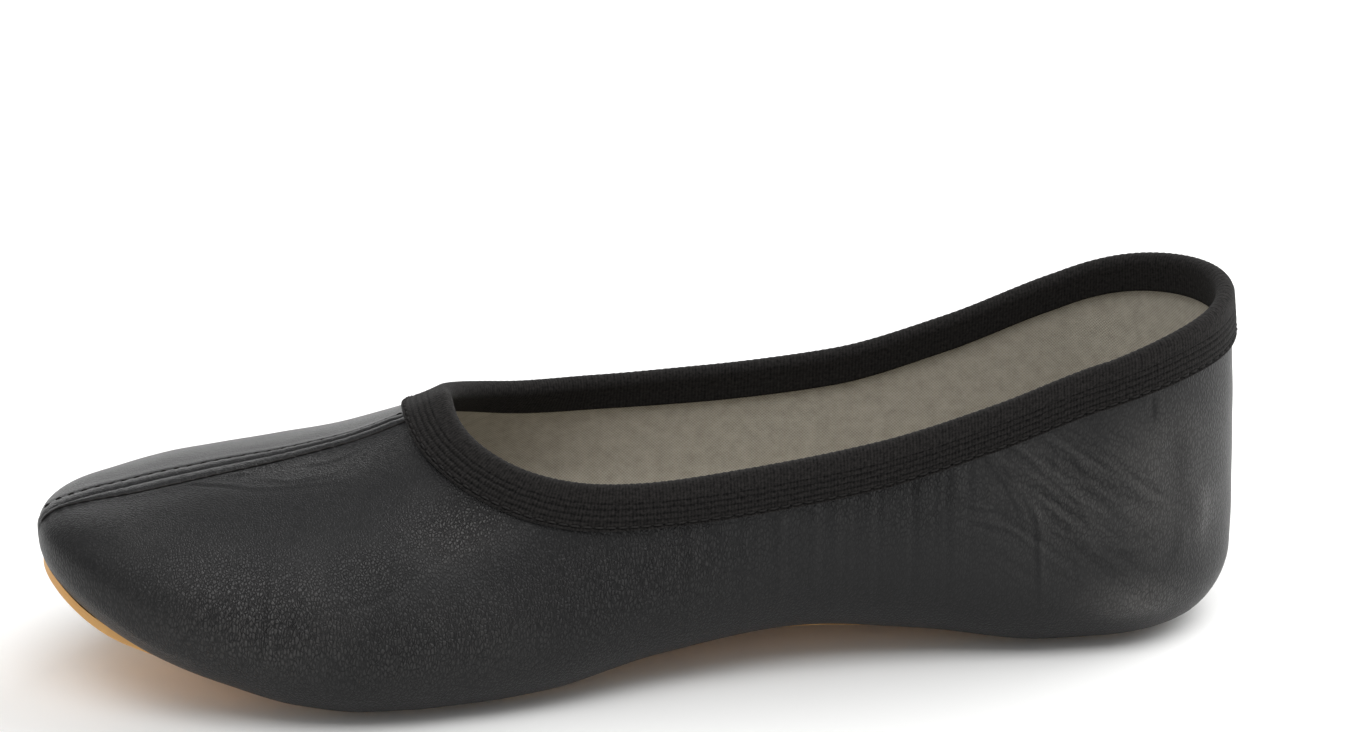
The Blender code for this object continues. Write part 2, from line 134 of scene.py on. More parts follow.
# Main creases of the leather, each a run of places: the station along the foot and the girth, the
# distance up the wall from the widest line.
# width, depth: of the trough, a ridge where the depth is negative
# lip: height of the roll along one side, as a share of the depth
Crease = namedtuple("Crease", "side width depth lip places")
CREASES = (
    # Folds that run down from the band at the inner heel
    Crease(-1, 0.60, 0.22, 0.7, ((60.0, 26.0), (53.5, 18.5), (50.5, 13.3), (49.5, 9.5))),
    Crease(-1, 0.60, 0.25, 0.7, (
        (57.5, 27.0), (52.0, 18.7), (48.0, 14.4), (47.0, 11.0), (46.8, 3.0), (46.0, -7.0),
    )),
    Crease(-1, 0.60, 0.22, 0.5, ((55.0, 29.5), (44.0, 21.3), (40.5, 17.7), (34.5, 14.3), (29.0, 10.8))),
    Crease(-1, 0.55, 0.14, 0.5, ((44.2, 28.0), (43.5, 21.5))),
    Crease(-1, 0.55, 0.13, 0.5, ((41.0, 28.5), (37.5, 22.3), (35.0, 19.0))),
    Crease(-1, 0.55, 0.14, 0.5, ((43.0, 21.0), (38.0, 15.5), (36.0, 10.0))),
    Crease(-1, 0.55, 0.16, 0.6, ((62.5, 9.4), (53.5, 9.1), (50.0, 7.7), (46.5, 4.3))),
    Crease(-1, 0.55, 0.10, 0.6, ((62.5, 12.3), (56.0, 12.8), (51.5, 12.0))),
    Crease(-1, 0.60, 0.10, 0.5, ((42.5, 9.0), (39.0, 3.9), (37.5, -3.0))),
    Crease(-1, 0.80, 0.10, 0.5, ((35.0, 7.6), (29.5, 5.7), (21.0, 6.8))),
    Crease(-1, 0.55, 0.30, 0.3, ((22.2, 41.0), (22.0, 34.0))),
    # Soft fan round the inner back corner of the heel
    Crease(-1, 2.4, 0.16, 0.4, ((16.5, 36.0), (17.0, 27.0), (16.5, 20.6), (15.0, 11.0))),
    Crease(-1, 2.2, -0.20, 0.0, ((10.5, 21.0), (10.5, 13.0), (11.0, 5.0))),
    Crease(-1, 1.4, 0.10, 0.6, ((17.5, 14.0), (16.5, 8.0), (18.5, 2.0))),
    Crease(-1, 2.6, -0.40, 0.0, ((36.0, -7.5), (27.0, -7.0), (16.0, -6.0))),
    # Waist, below the lowest part of the band
    Crease(-1, 0.50, -0.11, 0.0, ((141.0, 15.0), (139.0, 12.7), (134.5, 5.0))),
    Crease(-1, 0.50, -0.11, 0.0, ((133.0, 13.5), (125.5, 5.6), (123.0, 0.0))),
    Crease(-1, 0.50, -0.13, 0.0, ((129.0, 10.3), (118.5, 5.4), (115.5, 2.2), (112.0, -5.0))),
    # Long pull from the corner of the throat to the ball
    Crease(-1, 0.55, -0.13, 0.0, (
        (155.5, 28.0), (159.0, 22.2), (163.0, 20.7), (171.0, 17.9), (180.0, 14.2),
    )),
    Crease(-1, 0.60, 0.11, 0.6, ((171.0, 18.4), (180.0, 14.2), (185.0, 11.6), (196.0, 10.6))),
    Crease(-1, 0.50, -0.10, 0.0, ((165.5, 13.4), (158.5, 6.5))),
    Crease(-1, 0.50, -0.12, 0.0, ((178.5, 3.7), (172.5, -5.5))),
    Crease(-1, 0.60, 0.07, 0.6, ((188.5, 4.2), (179.5, 6.3))),
    # Ball and toe
    Crease(-1, 0.60, 0.14, 0.6, ((205.0, 20.0), (206.5, 6.9), (207.0, 3.8), (209.0, -6.0))),
    Crease(-1, 0.60, 0.08, 0.6, ((217.0, 16.8), (210.0, 16.7), (204.5, 17.8))),
    Crease(-1, 0.60, 0.09, 0.6, ((198.5, 13.0), (203.5, 2.0))),
    Crease(-1, 0.60, 0.07, 0.6, ((216.5, 14.0), (220.0, 6.0))),
    Crease(-1, 0.60, 0.10, 0.6, ((226.0, -4.5), (216.0, 7.0))),
    Crease(-1, 0.50, -0.08, 0.0, ((236.5, 14.0), (233.0, 22.0))),
    # Turn of the leather under the toe
    Crease(-1, 1.1, -0.30, 0.0, ((244.0, -3.0), (237.6, -3.2), (231.0, -5.5), (220.0, -7.4))),
    # Fine pulls below the centre seam
    Crease(-1, 0.55, 0.11, 0.7, ((222.0, 39.0), (213.0, 39.3), (205.0, 39.0))),
    Crease(-1, 0.55, 0.11, 0.7, ((207.0, 42.9), (198.0, 41.8), (188.0, 44.0))),
    Crease(-1, 0.55, 0.10, 0.7, ((209.0, 38.2), (200.0, 40.2), (194.5, 40.8), (185.0, 41.2))),
    Crease(-1, 0.55, 0.09, 0.7, ((200.0, 47.2), (190.5, 47.9), (182.0, 51.0))),
    Crease(-1, 0.55, 0.08, 0.7, ((214.0, 43.0), (204.0, 45.2))),
    # Outer side
    Crease(1, 1.0, 0.36, 0.5, ((59.0, 22.0), (52.0, 14.0), (46.0, 4.0))),
    Crease(1, 1.0, 0.32, 0.5, ((51.0, 26.0), (43.0, 18.0), (35.0, 12.0))),
    Crease(1, 1.0, 0.22, 0.5, ((66.0, 9.0), (56.0, 6.5), (47.0, 2.0))),
    Crease(1, 1.8, 0.40, 0.6, ((7.0, 31.0), (9.5, 18.0), (13.0, 6.0))),
    Crease(1, 1.5, 0.34, 0.6, ((14.0, 24.0), (12.5, 14.0), (17.0, 3.0))),
    Crease(1, 1.6, 0.28, 0.5, ((33.0, -3.0), (23.0, -1.0), (13.0, 1.0))),
    Crease(1, 1.0, 0.26, 0.5, ((158.0, 22.0), (172.0, 18.0), (188.0, 12.0))),
    Crease(1, 1.0, 0.22, 0.5, ((206.0, 14.0), (204.0, 4.0), (206.0, -4.0))),
    Crease(1, 1.0, 0.16, 0.4, ((138.0, 15.0), (129.0, 9.0), (122.0, 2.0))),
)

# Along a crease: its points, smoothing passes, the share of its length that each end leaves out, and the
# power of its fade. Across it, in widths: how far it reaches, and where the roll lies
CREASE_SAMPLES = 40
CREASE_PASSES = 6
CREASE_END = 0.02
CREASE_FADE = 0.8
CREASE_REACH = 4.0
CREASE_ROLL_AT = 1.7
# Height of a crease that counts as a full fold in the material, whose roll gets painted highlight and whose
# trough a thinner coat
FOLD_FULL = 0.7

# Slow swells of the leather, as height and size, and where the relief may start: above the hem, by girth,
# and below the band or ahead of it
LEATHER_SWELLS = ((0.22, 21.0), (0.10, 8.0))
RELIEF_HEM = (-17.0, -9.0)
RELIEF_BAND = (-1.0, 1.5)
RELIEF_THROAT = 20.0
RELIEF_AHEAD = 2.0

# Soft ovals in which the leather is handled or pulled, and ovals at the heel where highlight is painted into
# its colour
# along, up: half lengths of the oval
# rub: how far the film is burnished and the colour lightened, by rubbed dye and as painted highlight
# grain: how far the grain stands out
# drag: how far fine slanting pull lines show
Handled = namedtuple("Handled", "side station girth along up rub grain drag")
HANDLED = (
    Handled(-1, 208.0, 6.0, 22.0, 12.0, 0.85, 1.0, 0.0),
    Handled(-1, 176.0, 2.0, 28.0, 10.0, 0.40, 0.9, 0.0),
    Handled(-1, 184.0, 17.0, 10.0, 7.0, 0.30, 0.7, 0.0),
    Handled(-1, 167.0, 26.0, 11.0, 8.0, 0.80, 0.9, 0.0),
    Handled(-1, 192.0, 47.0, 22.0, 5.0, 0.35, 0.5, 0.0),
    Handled(-1, 232.0, 16.0, 14.0, 14.0, 0.30, 0.2, 0.0),
    Handled(-1, 132.0, 5.0, 30.0, 14.0, 0.15, 1.0, 0.0),
    Handled(-1, 84.0, 16.0, 24.0, 11.0, 0.15, 0.9, 0.3),
    Handled(-1, 40.0, 18.0, 20.0, 16.0, 0.55, 0.4, 1.0),
    # These three ovals round the back of the heel are painted highlight where the leather curves round
    Handled(-1, 20.0, 24.0, 14.0, 18.0, 1.0, 0.15, 0.2),
    Handled(-1, 25.0, -4.5, 11.0, 5.5, 1.0, 0.3, 0.3),
    Handled(-1, 9.5, 15.0, 5.0, 10.0, 0.9, 0.2, 0.0),
    Handled(1, 204.0, 3.0, 30.0, 13.0, 0.6, 0.9, 0.0),
    Handled(1, 165.0, 8.0, 36.0, 14.0, 0.4, 0.8, 0.0),
    Handled(1, 44.0, 16.0, 22.0, 16.0, 0.4, 0.3, 0.8),
    Handled(1, 26.0, -5.0, 14.0, 6.0, 0.7, 0.3, 0.0),
    Handled(1, 12.0, 18.0, 12.0, 16.0, 0.7, 0.2, 0.3),
)

# Soft puckers that the elastic draws into the leather below it: lengths of their waves, and of the
# patches in which they come and go. They run from one station to another with a ramp at each end
PUCKER_WAVES = (2.4, 3.7, 6.1)
PUCKER_SHIFT = 1.7
PUCKER_PATCHES = (6.3, 14.1)
PUCKER_LEAST = 0.35
PUCKER_FROM = 42.0
PUCKER_TO = 135.0
PUCKER_RAMP = 25.0
# Down the wall: where they start, measured from the band's lower edge, and how slowly they die away
PUCKER_TOP = (-3.0, 2.0)
PUCKER_FADE = 13.0
# Height that counts as a full fold in the material, whose crests get painted highlight
PUCKER_FULL = 1.6

# Cut across the centre seam: two puffed ridges side by side, with a stitch groove and a low swell beyond
# each. Distances are from the seam's middle
SEAM_REACH = 9.0
SEAM_RIDGE = 1.60
SEAM_RIDGE_HALF = 1.55
SEAM_PUFF_SIDE = 2.2
SEAM_PUFF_TOP = 0.6
SEAM_GROOVE = 0.32
SEAM_SWELL = 0.12
SEAM_SWELL_AT = 1.1
SEAM_SWELL_WIDTH = 1.2
# Shares of the ridge and groove that come and go with each stitch
SEAM_RIDGE_BEAT = 0.10
SEAM_GROOVE_BEAT = 0.3
# Along the seam, as distances back from the toe's tip: it widens from the throat's share of its width to
# the toe's, its inner side is drawn in, and it gets lower
SEAM_THROAT_SHARE = 0.68
SEAM_TOE_SHARE = 1.10
SEAM_WIDENS = (66.0, 26.0)
SEAM_DRAW_IN = 0.7
SEAM_DRAWN = (22.0, 2.0)
SEAM_TIP_LOSS = 0.5
SEAM_TIP = (12.0, 2.0)
# Ends of the seam: how far it starts under the band, the share of its height there, the length of its
# fade, how far it passes the widest line, and the height down to which it is stitched
SEAM_UNDER_BAND = 3.0
SEAM_BAND_CLEAR = 0.3
SEAM_FADE = 3.0
SEAM_BELOW = 1.0
SEAM_STITCH_LOW = 36.5
# Points along its ridge and down the toe's front
SEAM_RIDGE_SAMPLES = 120
SEAM_FRONT_SAMPLES = 40

# Stitch rows of the seam: at is the distance from the seam's middle, length that of one stitch,
# and groove the depth of the leather that the row draws in
SeamRow = namedtuple("SeamRow", "side at length groove")
SEAM_ROWS = (SeamRow(-1, 3.2, 3.25, 0.36), SeamRow(1, 3.7, 1.6, 0.20))

# Steps of the dense leather: columns along each side, by stretch, and rows up each column
LeatherSteps = namedtuple("LeatherSteps", "heel crease waist throat vamp toe")
INNER_STEPS = LeatherSteps(64, 64, 92, 56, 92, 96)
OUTER_STEPS = LeatherSteps(40, 24, 60, 40, 48, 56)
CREASE_STRETCH = 68.0
MARGIN_ROWS = 4
EDGE_ROWS = 14
PLAIN_ROWS = 76
FINE_ROWS = 20
TOP_ROWS = 6
# Lengths of the top and fine rows, with the most of the wall that they take; the top is longer beside the
# open collar than at the throat
TOP_LENGTH = 1.8
TOP_OPEN_LENGTH = 4.0
TOP_MOST = 0.15
FINE_LENGTH = 7.0
FINE_MOST = 0.6
# Points up the wall and round its lower turn from which the rows are measured
WALL_SAMPLES = 200
PATH_SAMPLES = 120
TURN_SAMPLES = 40
# The inner face has one column and row in so many
COARSE = 4

# Cotton lining, which is slack in places
LINING_STEPS = LeatherSteps(28, 18, 34, 24, 40, 44)
LINING_SLACK = 0.12
LINING_PATCH = 14.0

# Decimals of a millimetre to which points agree that lie in one place
WELD_DIGITS = 4

# Sizes of the materials' patterns, and how much of the relief each gives
GRAIN_STRETCH = (1.0, 1.0, 0.45)
PORE_SHARE = 1.2
PULL_SIZE = (20.0, 20.0, 1.7)
PULL_SLANT = 38.0
PULL_SHARE = 0.55
RUB_PATCH = 22.2
# Share of a fold that paints highlight into the leather's colour
FOLD_HIGHLIGHT_SHARE = 0.9
ELASTIC_TUFT = 0.8333
# The rib and cord shares also set the elastic's colour: painted highlight on the rib tops, painted shade in
# the cord grooves
ELASTIC_RIB_SHARE = 0.06
ELASTIC_CORD_SHARE = 0.11
THREAD_FIBRE = 1 / 6
GUM_CLOUD = 16.67
PRESS_GRIT = 0.5556
COTTON_SLUB = 2.857
COTTON_WEAVE_SHARE = 0.3
ROLLER_MARK = 3.333


def linear(hex_colour):
    """Linear RGBA of an sRGB hex colour."""
    parts = [int(hex_colour[i:i + 2], 16) / 255 for i in (1, 3, 5)]
    flat = [part / 12.92 if part <= 0.04045 else ((part + 0.055) / 1.055) ** 2.4 for part in parts]
    return (*flat, 1.0)


def colour_property(name, description, hex_colour):
    """A colour that the user can change, with its default given as an sRGB hex value."""
    return bpy.props.FloatVectorProperty(
        name=name, description=description, default=linear(hex_colour),
        size=4, min=0.0, max=1.0, subtype="COLOR",
    )


def length_property(name, description, millimetres):
    """A length that the user can change, with its default given in millimetres."""
    return bpy.props.FloatProperty(
        name=name, description=description, default=millimetres * MM,
        min=0.0, precision=5, unit="LENGTH",
    )


class ShoeSizes(bpy.types.PropertyGroup):
    """Sizes of the fine detail on the shoe"""

    crease_share: bpy.props.FloatProperty(
        name="Creases", description="Depth of the creases, as a share of the modelled depth",
        default=1.0, min=0.0, max=2.0, subtype="FACTOR",
    )
    pucker_height: length_property("Puckers", "Height of the puckers below the band", 0.50)
    seam_height: length_property("Seam height", "Height of the centre seam's ridges", 0.50)
    stitch_pitch: length_property("Stitch pitch", "Distance from one stitch to the next", 2.7)
    stitch_length: length_property("Stitch length", "Length of one stitch of the band", 2.1)
    thread_width: length_property("Thread width", "Thickness of the sewing thread", 0.42)
    grain_width: length_property("Grain width", "Width of one pebble of the leather's grain", 0.6)
    cord_pitch: length_property("Cord pitch", "Distance between the lines along the band", 1.25)
    rib_pitch: length_property("Rib pitch", "Distance between the ribs across the band", 0.7)
    picot_pitch: length_property("Picot pitch", "Distance between the loops on the band's fold", 1.6)
    tread_pitch: length_property("Tread pitch", "Distance between the grooves of the tread", 5.0)
    tread_depth: length_property("Tread depth", "Depth of the grooves of the tread", 0.35)
    weave_pitch: length_property("Weave pitch", "Distance between the cotton's threads", 0.7)


class ShoeColours(bpy.types.PropertyGroup):
    """Colours of the shoe's materials"""

    leather: colour_property("Leather", "Dyed leather", "#0f0f10")
    # Lighter leather: rubbed dye, and also the painted highlight on fold crests and at the heel
    leather_wear_and_highlight: colour_property("Worn leather", "Leather where the dye is rubbed", "#343230")
    elastic: colour_property("Elastic", "Band round the opening", "#2c2a29")
    thread: colour_property("Thread", "Sewing thread", "#050505")
    gum: colour_property("Gum", "Sole", "#d9a966")
    gum_dark: colour_property("Dark gum", "Darker clouds in the sole", "#c29051")
    cotton: colour_property("Cotton", "Lining", "#b9b3a6")
    cotton_dark: colour_property("Dark cotton", "Gaps between the lining's threads", "#8e887b")
    insole: colour_property("Insole", "Cover of the insole", "#a9a294")


class StageSettings(bpy.types.PropertyGroup):
    """Floor, light and camera"""

    floor: colour_property("Floor", "Pale floor", "#f4f4f3")
    azimuth: bpy.props.FloatProperty(
        name="Azimuth", description="Direction of the camera round the shoe",
        default=math.radians(-8.0), subtype="ANGLE",
    )
    elevation: bpy.props.FloatProperty(
        name="Elevation", description="Height of the camera over the floor, as an angle",
        default=math.radians(25.0), subtype="ANGLE",
    )
    distance: length_property("Distance", "Distance of the camera from the shoe", 1300.0)
    aim_right: length_property("Aim right", "Middle of the picture, to the right of the origin", 8.4)
    aim_up: length_property("Aim up", "Middle of the picture, above the origin", 55.5)
    lens: bpy.props.FloatProperty(
        name="Lens", description="Focal length in millimetres on a 36 mm sensor",
        default=163.8, min=1.0,
    )
    room_light: bpy.props.FloatProperty(
        name="Room light", description="Brightness of the even light from all round",
        default=0.62, min=0.0,
    )


def smooth_curve(rows, column):
    """Give a function of the station, smooth through one table column and without overshoot."""
    xs = np.array([row.station for row in rows], float)
    ys = np.array([getattr(row, column) for row in rows], float)
    spans = np.diff(xs)
    rises = np.diff(ys) / spans
    slopes = np.concatenate((rises[:1], np.zeros(len(xs) - 2), rises[-1:]))
    for i in range(1, len(xs) - 1):
        before, after = rises[i - 1], rises[i]
        if before * after > 0:
            weight_a = 2 * spans[i] + spans[i - 1]
            weight_b = spans[i] + 2 * spans[i - 1]
            slopes[i] = (weight_a + weight_b) / (weight_a / before + weight_b / after)

    def value(station):
        place = np.clip(station, xs[0], xs[-1])
        i = np.clip(np.searchsorted(xs, place, side="right") - 1, 0, len(spans) - 1)
        q = (place - xs[i]) / spans[i]
        start = (1 + 2 * q) * (1 - q) ** 2 * ys[i] + q * (1 - q) ** 2 * spans[i] * slopes[i]
        end = q * q * (3 - 2 * q) * ys[i + 1] + q * q * (q - 1) * spans[i] * slopes[i + 1]
        return start + end

    return value


SHAPE = {name: smooth_curve(SECTIONS, name) for name in Section._fields[1:]}
COLLAR_CURVES = {name: smooth_curve(COLLAR, name) for name in Collar._fields[1:]}
SOLE_INSET = smooth_curve(SOLE_EDGE, "inset")


def half_width(station, side):
    """Half width of the outline on the inner (-1) or outer (+1) side, rounded off at heel and toe."""
    width = np.where(side < 0, SHAPE["inner"](station), SHAPE["outer"](station))
    heel = np.clip(1 - station / HEEL_CAP, 0.0, 1.0) ** 2
    toe = np.clip((station - TOE_START) / TOE_CAP, 0.0, 1.0) ** TOE_CAP_POWER
    return width * np.sqrt(1 - heel) * np.sqrt(1 - toe)


def underside(station, across):
    """Height of the leather's underside; across runs from -1 at the inner edge to +1 at the outer."""
    lift = SHAPE["arch"](station) * ((1 - across) / 2) ** 2
    return SHAPE["tread"](station) + lift + SOLE_THICKNESS + GAP


def top_middle(station):
    """Station of the ridge point that a column's wall runs to."""
    beyond = np.maximum(station - TOE_START, 0.0)
    return np.maximum(station, HEEL_CAP) - beyond * (1 - TOE_TOP_REACH)


def low_reach(station, side):
    """Distance from the middle of the underside to the widest line."""
    middle = np.clip(station, HEEL_CAP, TOE_START)
    return np.hypot(station - middle, half_width(station, side))


def low_point(station, side, inset, lift=0.0):
    """Point of the leather's underside at a distance in from the widest outline, moved up by a lift."""
    middle = np.clip(station, HEEL_CAP, TOE_START)
    sideways = side * half_width(station, side)
    share = np.clip(1 - inset / low_reach(station, side), 0.0, 1.0)
    here = middle + (station - middle) * share
    turn = 1 - np.clip(inset / EDGE_WIDTH, 0.0, 1.0)
    rise = SHAPE["widest"](station) * (1 - np.sqrt(1 - turn * turn))
    centre = SHAPE["swing"](station) * share + SHAPE["swing"](middle) * (1 - share)
    return frame_point(here, centre + sideways * share, underside(here, side * share) + rise + lift)


def wall_point(station, side, angle):
    """Point of the wall, from the widest line (angle 0) to the ridge (angle 90 degrees)."""
    middle = top_middle(station)
    power = 2 / SHAPE["fullness"](station)
    share = np.clip(np.cos(angle), 0.0, 1.0) ** power
    climb = np.clip(np.sin(angle), 0.0, 1.0) ** power
    here = middle + (station - middle) * share
    low = underside(station, side) + SHAPE["widest"](station)
    centre = SHAPE["swing"](station) * share + SHAPE["swing"](middle) * (1 - share)
    height = low + (SHAPE["crest"](here) - low) * climb
    return frame_point(here, centre + side * half_width(station, side) * share, height)


def frame_point(station, sideways, height):
    """Put points in the shoe's frame, toe towards -X."""
    parts = np.broadcast_arrays(LENGTH / 2 - station, sideways + FRAME_SHIFT, height)
    return np.stack(parts, axis=-1)


def throat_line(share):
    """Throat line at a share of the band's depth: 0 at its fold, 1 at its lower edge."""
    return ThroatLine(*(fold + (lower - fold) * share for fold, lower in zip(FOLD_LINE, LOWER_LINE)))


def edge_angle(station, side, share):
    """Wall angle of the line round the opening at a share of the band's depth."""
    line = throat_line(share)
    along = np.clip((station - THROAT_START) / line.reach, 0.0, 1.0)
    height = COLLAR_CURVES["height"](station) - COLLAR_CURVES["depth"](station) * share
    height = height - np.where(side > 0, COLLAR_CURVES["outer_drop"](station), 0.0)
    low = underside(station, side) + SHAPE["widest"](station)
    climb = np.clip((height - low) / (SHAPE["crest"](top_middle(station)) - low), 0.0, 1.0)
    angle = np.arcsin(climb ** (SHAPE["fullness"](station) / 2))
    turn = 1 - (1 - along ** line.squareness) ** (1 / line.squareness)
    return angle + (np.pi / 2 - angle) * turn


def smooth_step(value, low, high):
    """Rise smoothly from 0 at low to 1 at high."""
    share = np.clip((value - low) / (high - low), 0.0, 1.0)
    return share * share * (3 - 2 * share)


def side_stations(steps):
    """Stations of the columns along one side, from the heel's back to the toe's tip."""
    turns = {name: np.linspace(0, np.pi / 2, count + 1) for name, count in steps._asdict().items()}
    throat_end = THROAT_START + throat_line(LEATHER_SHARE).reach
    stretches = (
        HEEL_CAP * (1 - np.cos(turns["heel"][:-1])),
        np.linspace(HEEL_CAP, CREASE_STRETCH, steps.crease + 1)[:-1],
        np.linspace(CREASE_STRETCH, THROAT_START, steps.waist + 1)[:-1],
        THROAT_START + (throat_end - THROAT_START) * np.sin(turns["throat"][:-1]),
        np.linspace(throat_end, TOE_START, steps.vamp + 1)[:-1],
        TOE_START + TOE_CAP * np.sin(turns["toe"]),
    )
    return np.concatenate(stretches)


def loop_columns(outer, inner):
    """Station and side of the columns: up the outer side from heel to toe, back down the inner side."""
    station = np.concatenate((outer, inner[-2:0:-1]))
    side = np.concatenate((np.ones(len(outer)), -np.ones(len(inner) - 2)))
    return station[:, None], side[:, None]


def mouth_columns(steps):
    """Number of columns from the heel's back to the tip of the throat."""
    return steps.heel + steps.crease + steps.waist + steps.throat


def run_lengths(paths):
    """Distance from the start of each path to each of its points."""
    steps = np.linalg.norm(np.diff(paths, axis=1), axis=2)
    return np.concatenate((np.zeros((len(paths), 1)), np.cumsum(steps, axis=1)), axis=1)


def loop_run(points):
    """Distance round a closed loop to each of its points, and last to the first one again."""
    return run_lengths(np.concatenate((points, points[:1]))[None])[0]


def resample(paths, places):
    """Points of several paths at distances along each."""
    run = run_lengths(paths)
    points = np.empty(places.shape + (3,))
    for k, path in enumerate(paths):
        for axis in range(3):
            points[k, :, axis] = np.interp(places[k], run[k], path[:, axis])
    return points


def weld(grid):
    """Points of a grid, the grid of their numbers and each one's first place; points in one place share
    a number."""
    flat = np.round(grid.reshape(-1, 3), WELD_DIGITS) + 0.0
    points, first, numbers = np.unique(flat, axis=0, return_index=True, return_inverse=True)
    return points, numbers.reshape(grid.shape[:2]), first


def grid_quads(numbers, ring=False):
    """Four corners of the faces between the columns of a closed loop; ring also closes the rows."""
    following = np.roll(numbers, -1, axis=0)
    if ring:
        numbers = np.concatenate((numbers, numbers[:, :1]), axis=1)
        following = np.concatenate((following, following[:, :1]), axis=1)
    corners = (numbers[:, :-1], following[:, :-1], following[:, 1:], numbers[:, 1:])
    return np.stack(corners, axis=2).reshape(-1, 4)


def face_list(quads):
    """Faces without the corners that have run together."""
    faces = [tuple(dict.fromkeys(quad)) for quad in quads.tolist()]
    return [face for face in faces if len(face) > 2]


def point_normals(points, quads):
    """Average outward direction of the faces that meet at each point."""
    corners = points[quads]
    across = np.cross(corners[:, 2] - corners[:, 0], corners[:, 3] - corners[:, 1])
    total = np.zeros_like(points)
    for k in range(4):
        np.add.at(total, quads[:, k], across)
    return total / np.maximum(np.linalg.norm(total, axis=1, keepdims=True), 1e-12)


def noise_field(points, size):
    """Smooth noise from -1 to 1 at each point, with patches of a size in millimetres."""
    shape = points.shape[:-1]
    flat = points.reshape(-1, 3) / size
    return np.array([noise.noise(Vector(point)) for point in flat]).reshape(shape)


def new_object(name, points, faces, material):
    """Put a smooth object in the scene, from points in millimetres."""
    mesh = bpy.data.meshes.new(name)
    mesh.from_pydata((np.asarray(points) * MM).tolist(), [], faces)
    mesh.validate()
    mesh.materials.append(material)
    mesh.shade_smooth()
    made = bpy.data.objects.new(name, mesh)
    bpy.context.scene.collection.objects.link(made)
    return made


def new_piece(name, points, faces, material, slot, node=None):
    """Make a piece that rides on the shoe, and hide the solid that it replaces, if one is named."""
    piece = new_object(name, points, faces, material)
    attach(piece, "root")
    if node:
        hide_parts(node)
    return piece


def set_mask(piece, name, values):
    """Give each point of a piece a value, 0 for those past the end of the values."""
    values = np.pad(values, (0, len(piece.data.vertices) - len(values)))
    mask = piece.data.attributes.new(name, "FLOAT", "POINT")
    mask.data.foreach_set("value", values.astype(np.float32))


def set_map(piece, name, places):
    """Give a piece a UV map in millimetres, from a place for each corner of its faces."""
    layer = piece.data.uv_layers.new(name=name)
    layer.uv.foreach_set("vector", np.asarray(places, np.float32).ravel())


def set_thread_map(piece, name, places):
    """Give a piece a UV map in millimetres, from a place for each of its points."""
    corners = np.empty(len(piece.data.loops), np.int32)
    piece.data.loops.foreach_get("vertex_index", corners)
    set_map(piece, name, places[corners])


def set_inputs(tree, node, inputs):
    """Set a node's inputs, or link those that are given another node's output."""
    for name, value in inputs.items():
        if isinstance(value, bpy.types.NodeSocket):
            tree.links.new(value, node.inputs[name])
        else:
            node.inputs[name].default_value = value


def add_node(tree, kind, inputs=None, output=0, **settings):
    """Add a node with its settings and links, and give the output of it that is wanted."""
    node = tree.nodes.new("ShaderNode" + kind)
    for name, value in settings.items():
        setattr(node, name, value)
    set_inputs(tree, node, inputs or {})
    return node.outputs[output]


def new_material(name, even):
    """Start a material with a Principled shader, its even values set on its own sockets.

    Gives the material, what adds a node to it and what joins nodes to its shader."""
    material = bpy.data.materials.new(name)
    material.use_nodes = True
    tree = material.node_tree
    shader = tree.nodes["Principled BSDF"]
    set_inputs(tree, shader, even)
    return material, partial(add_node, tree), partial(set_inputs, tree, shader)


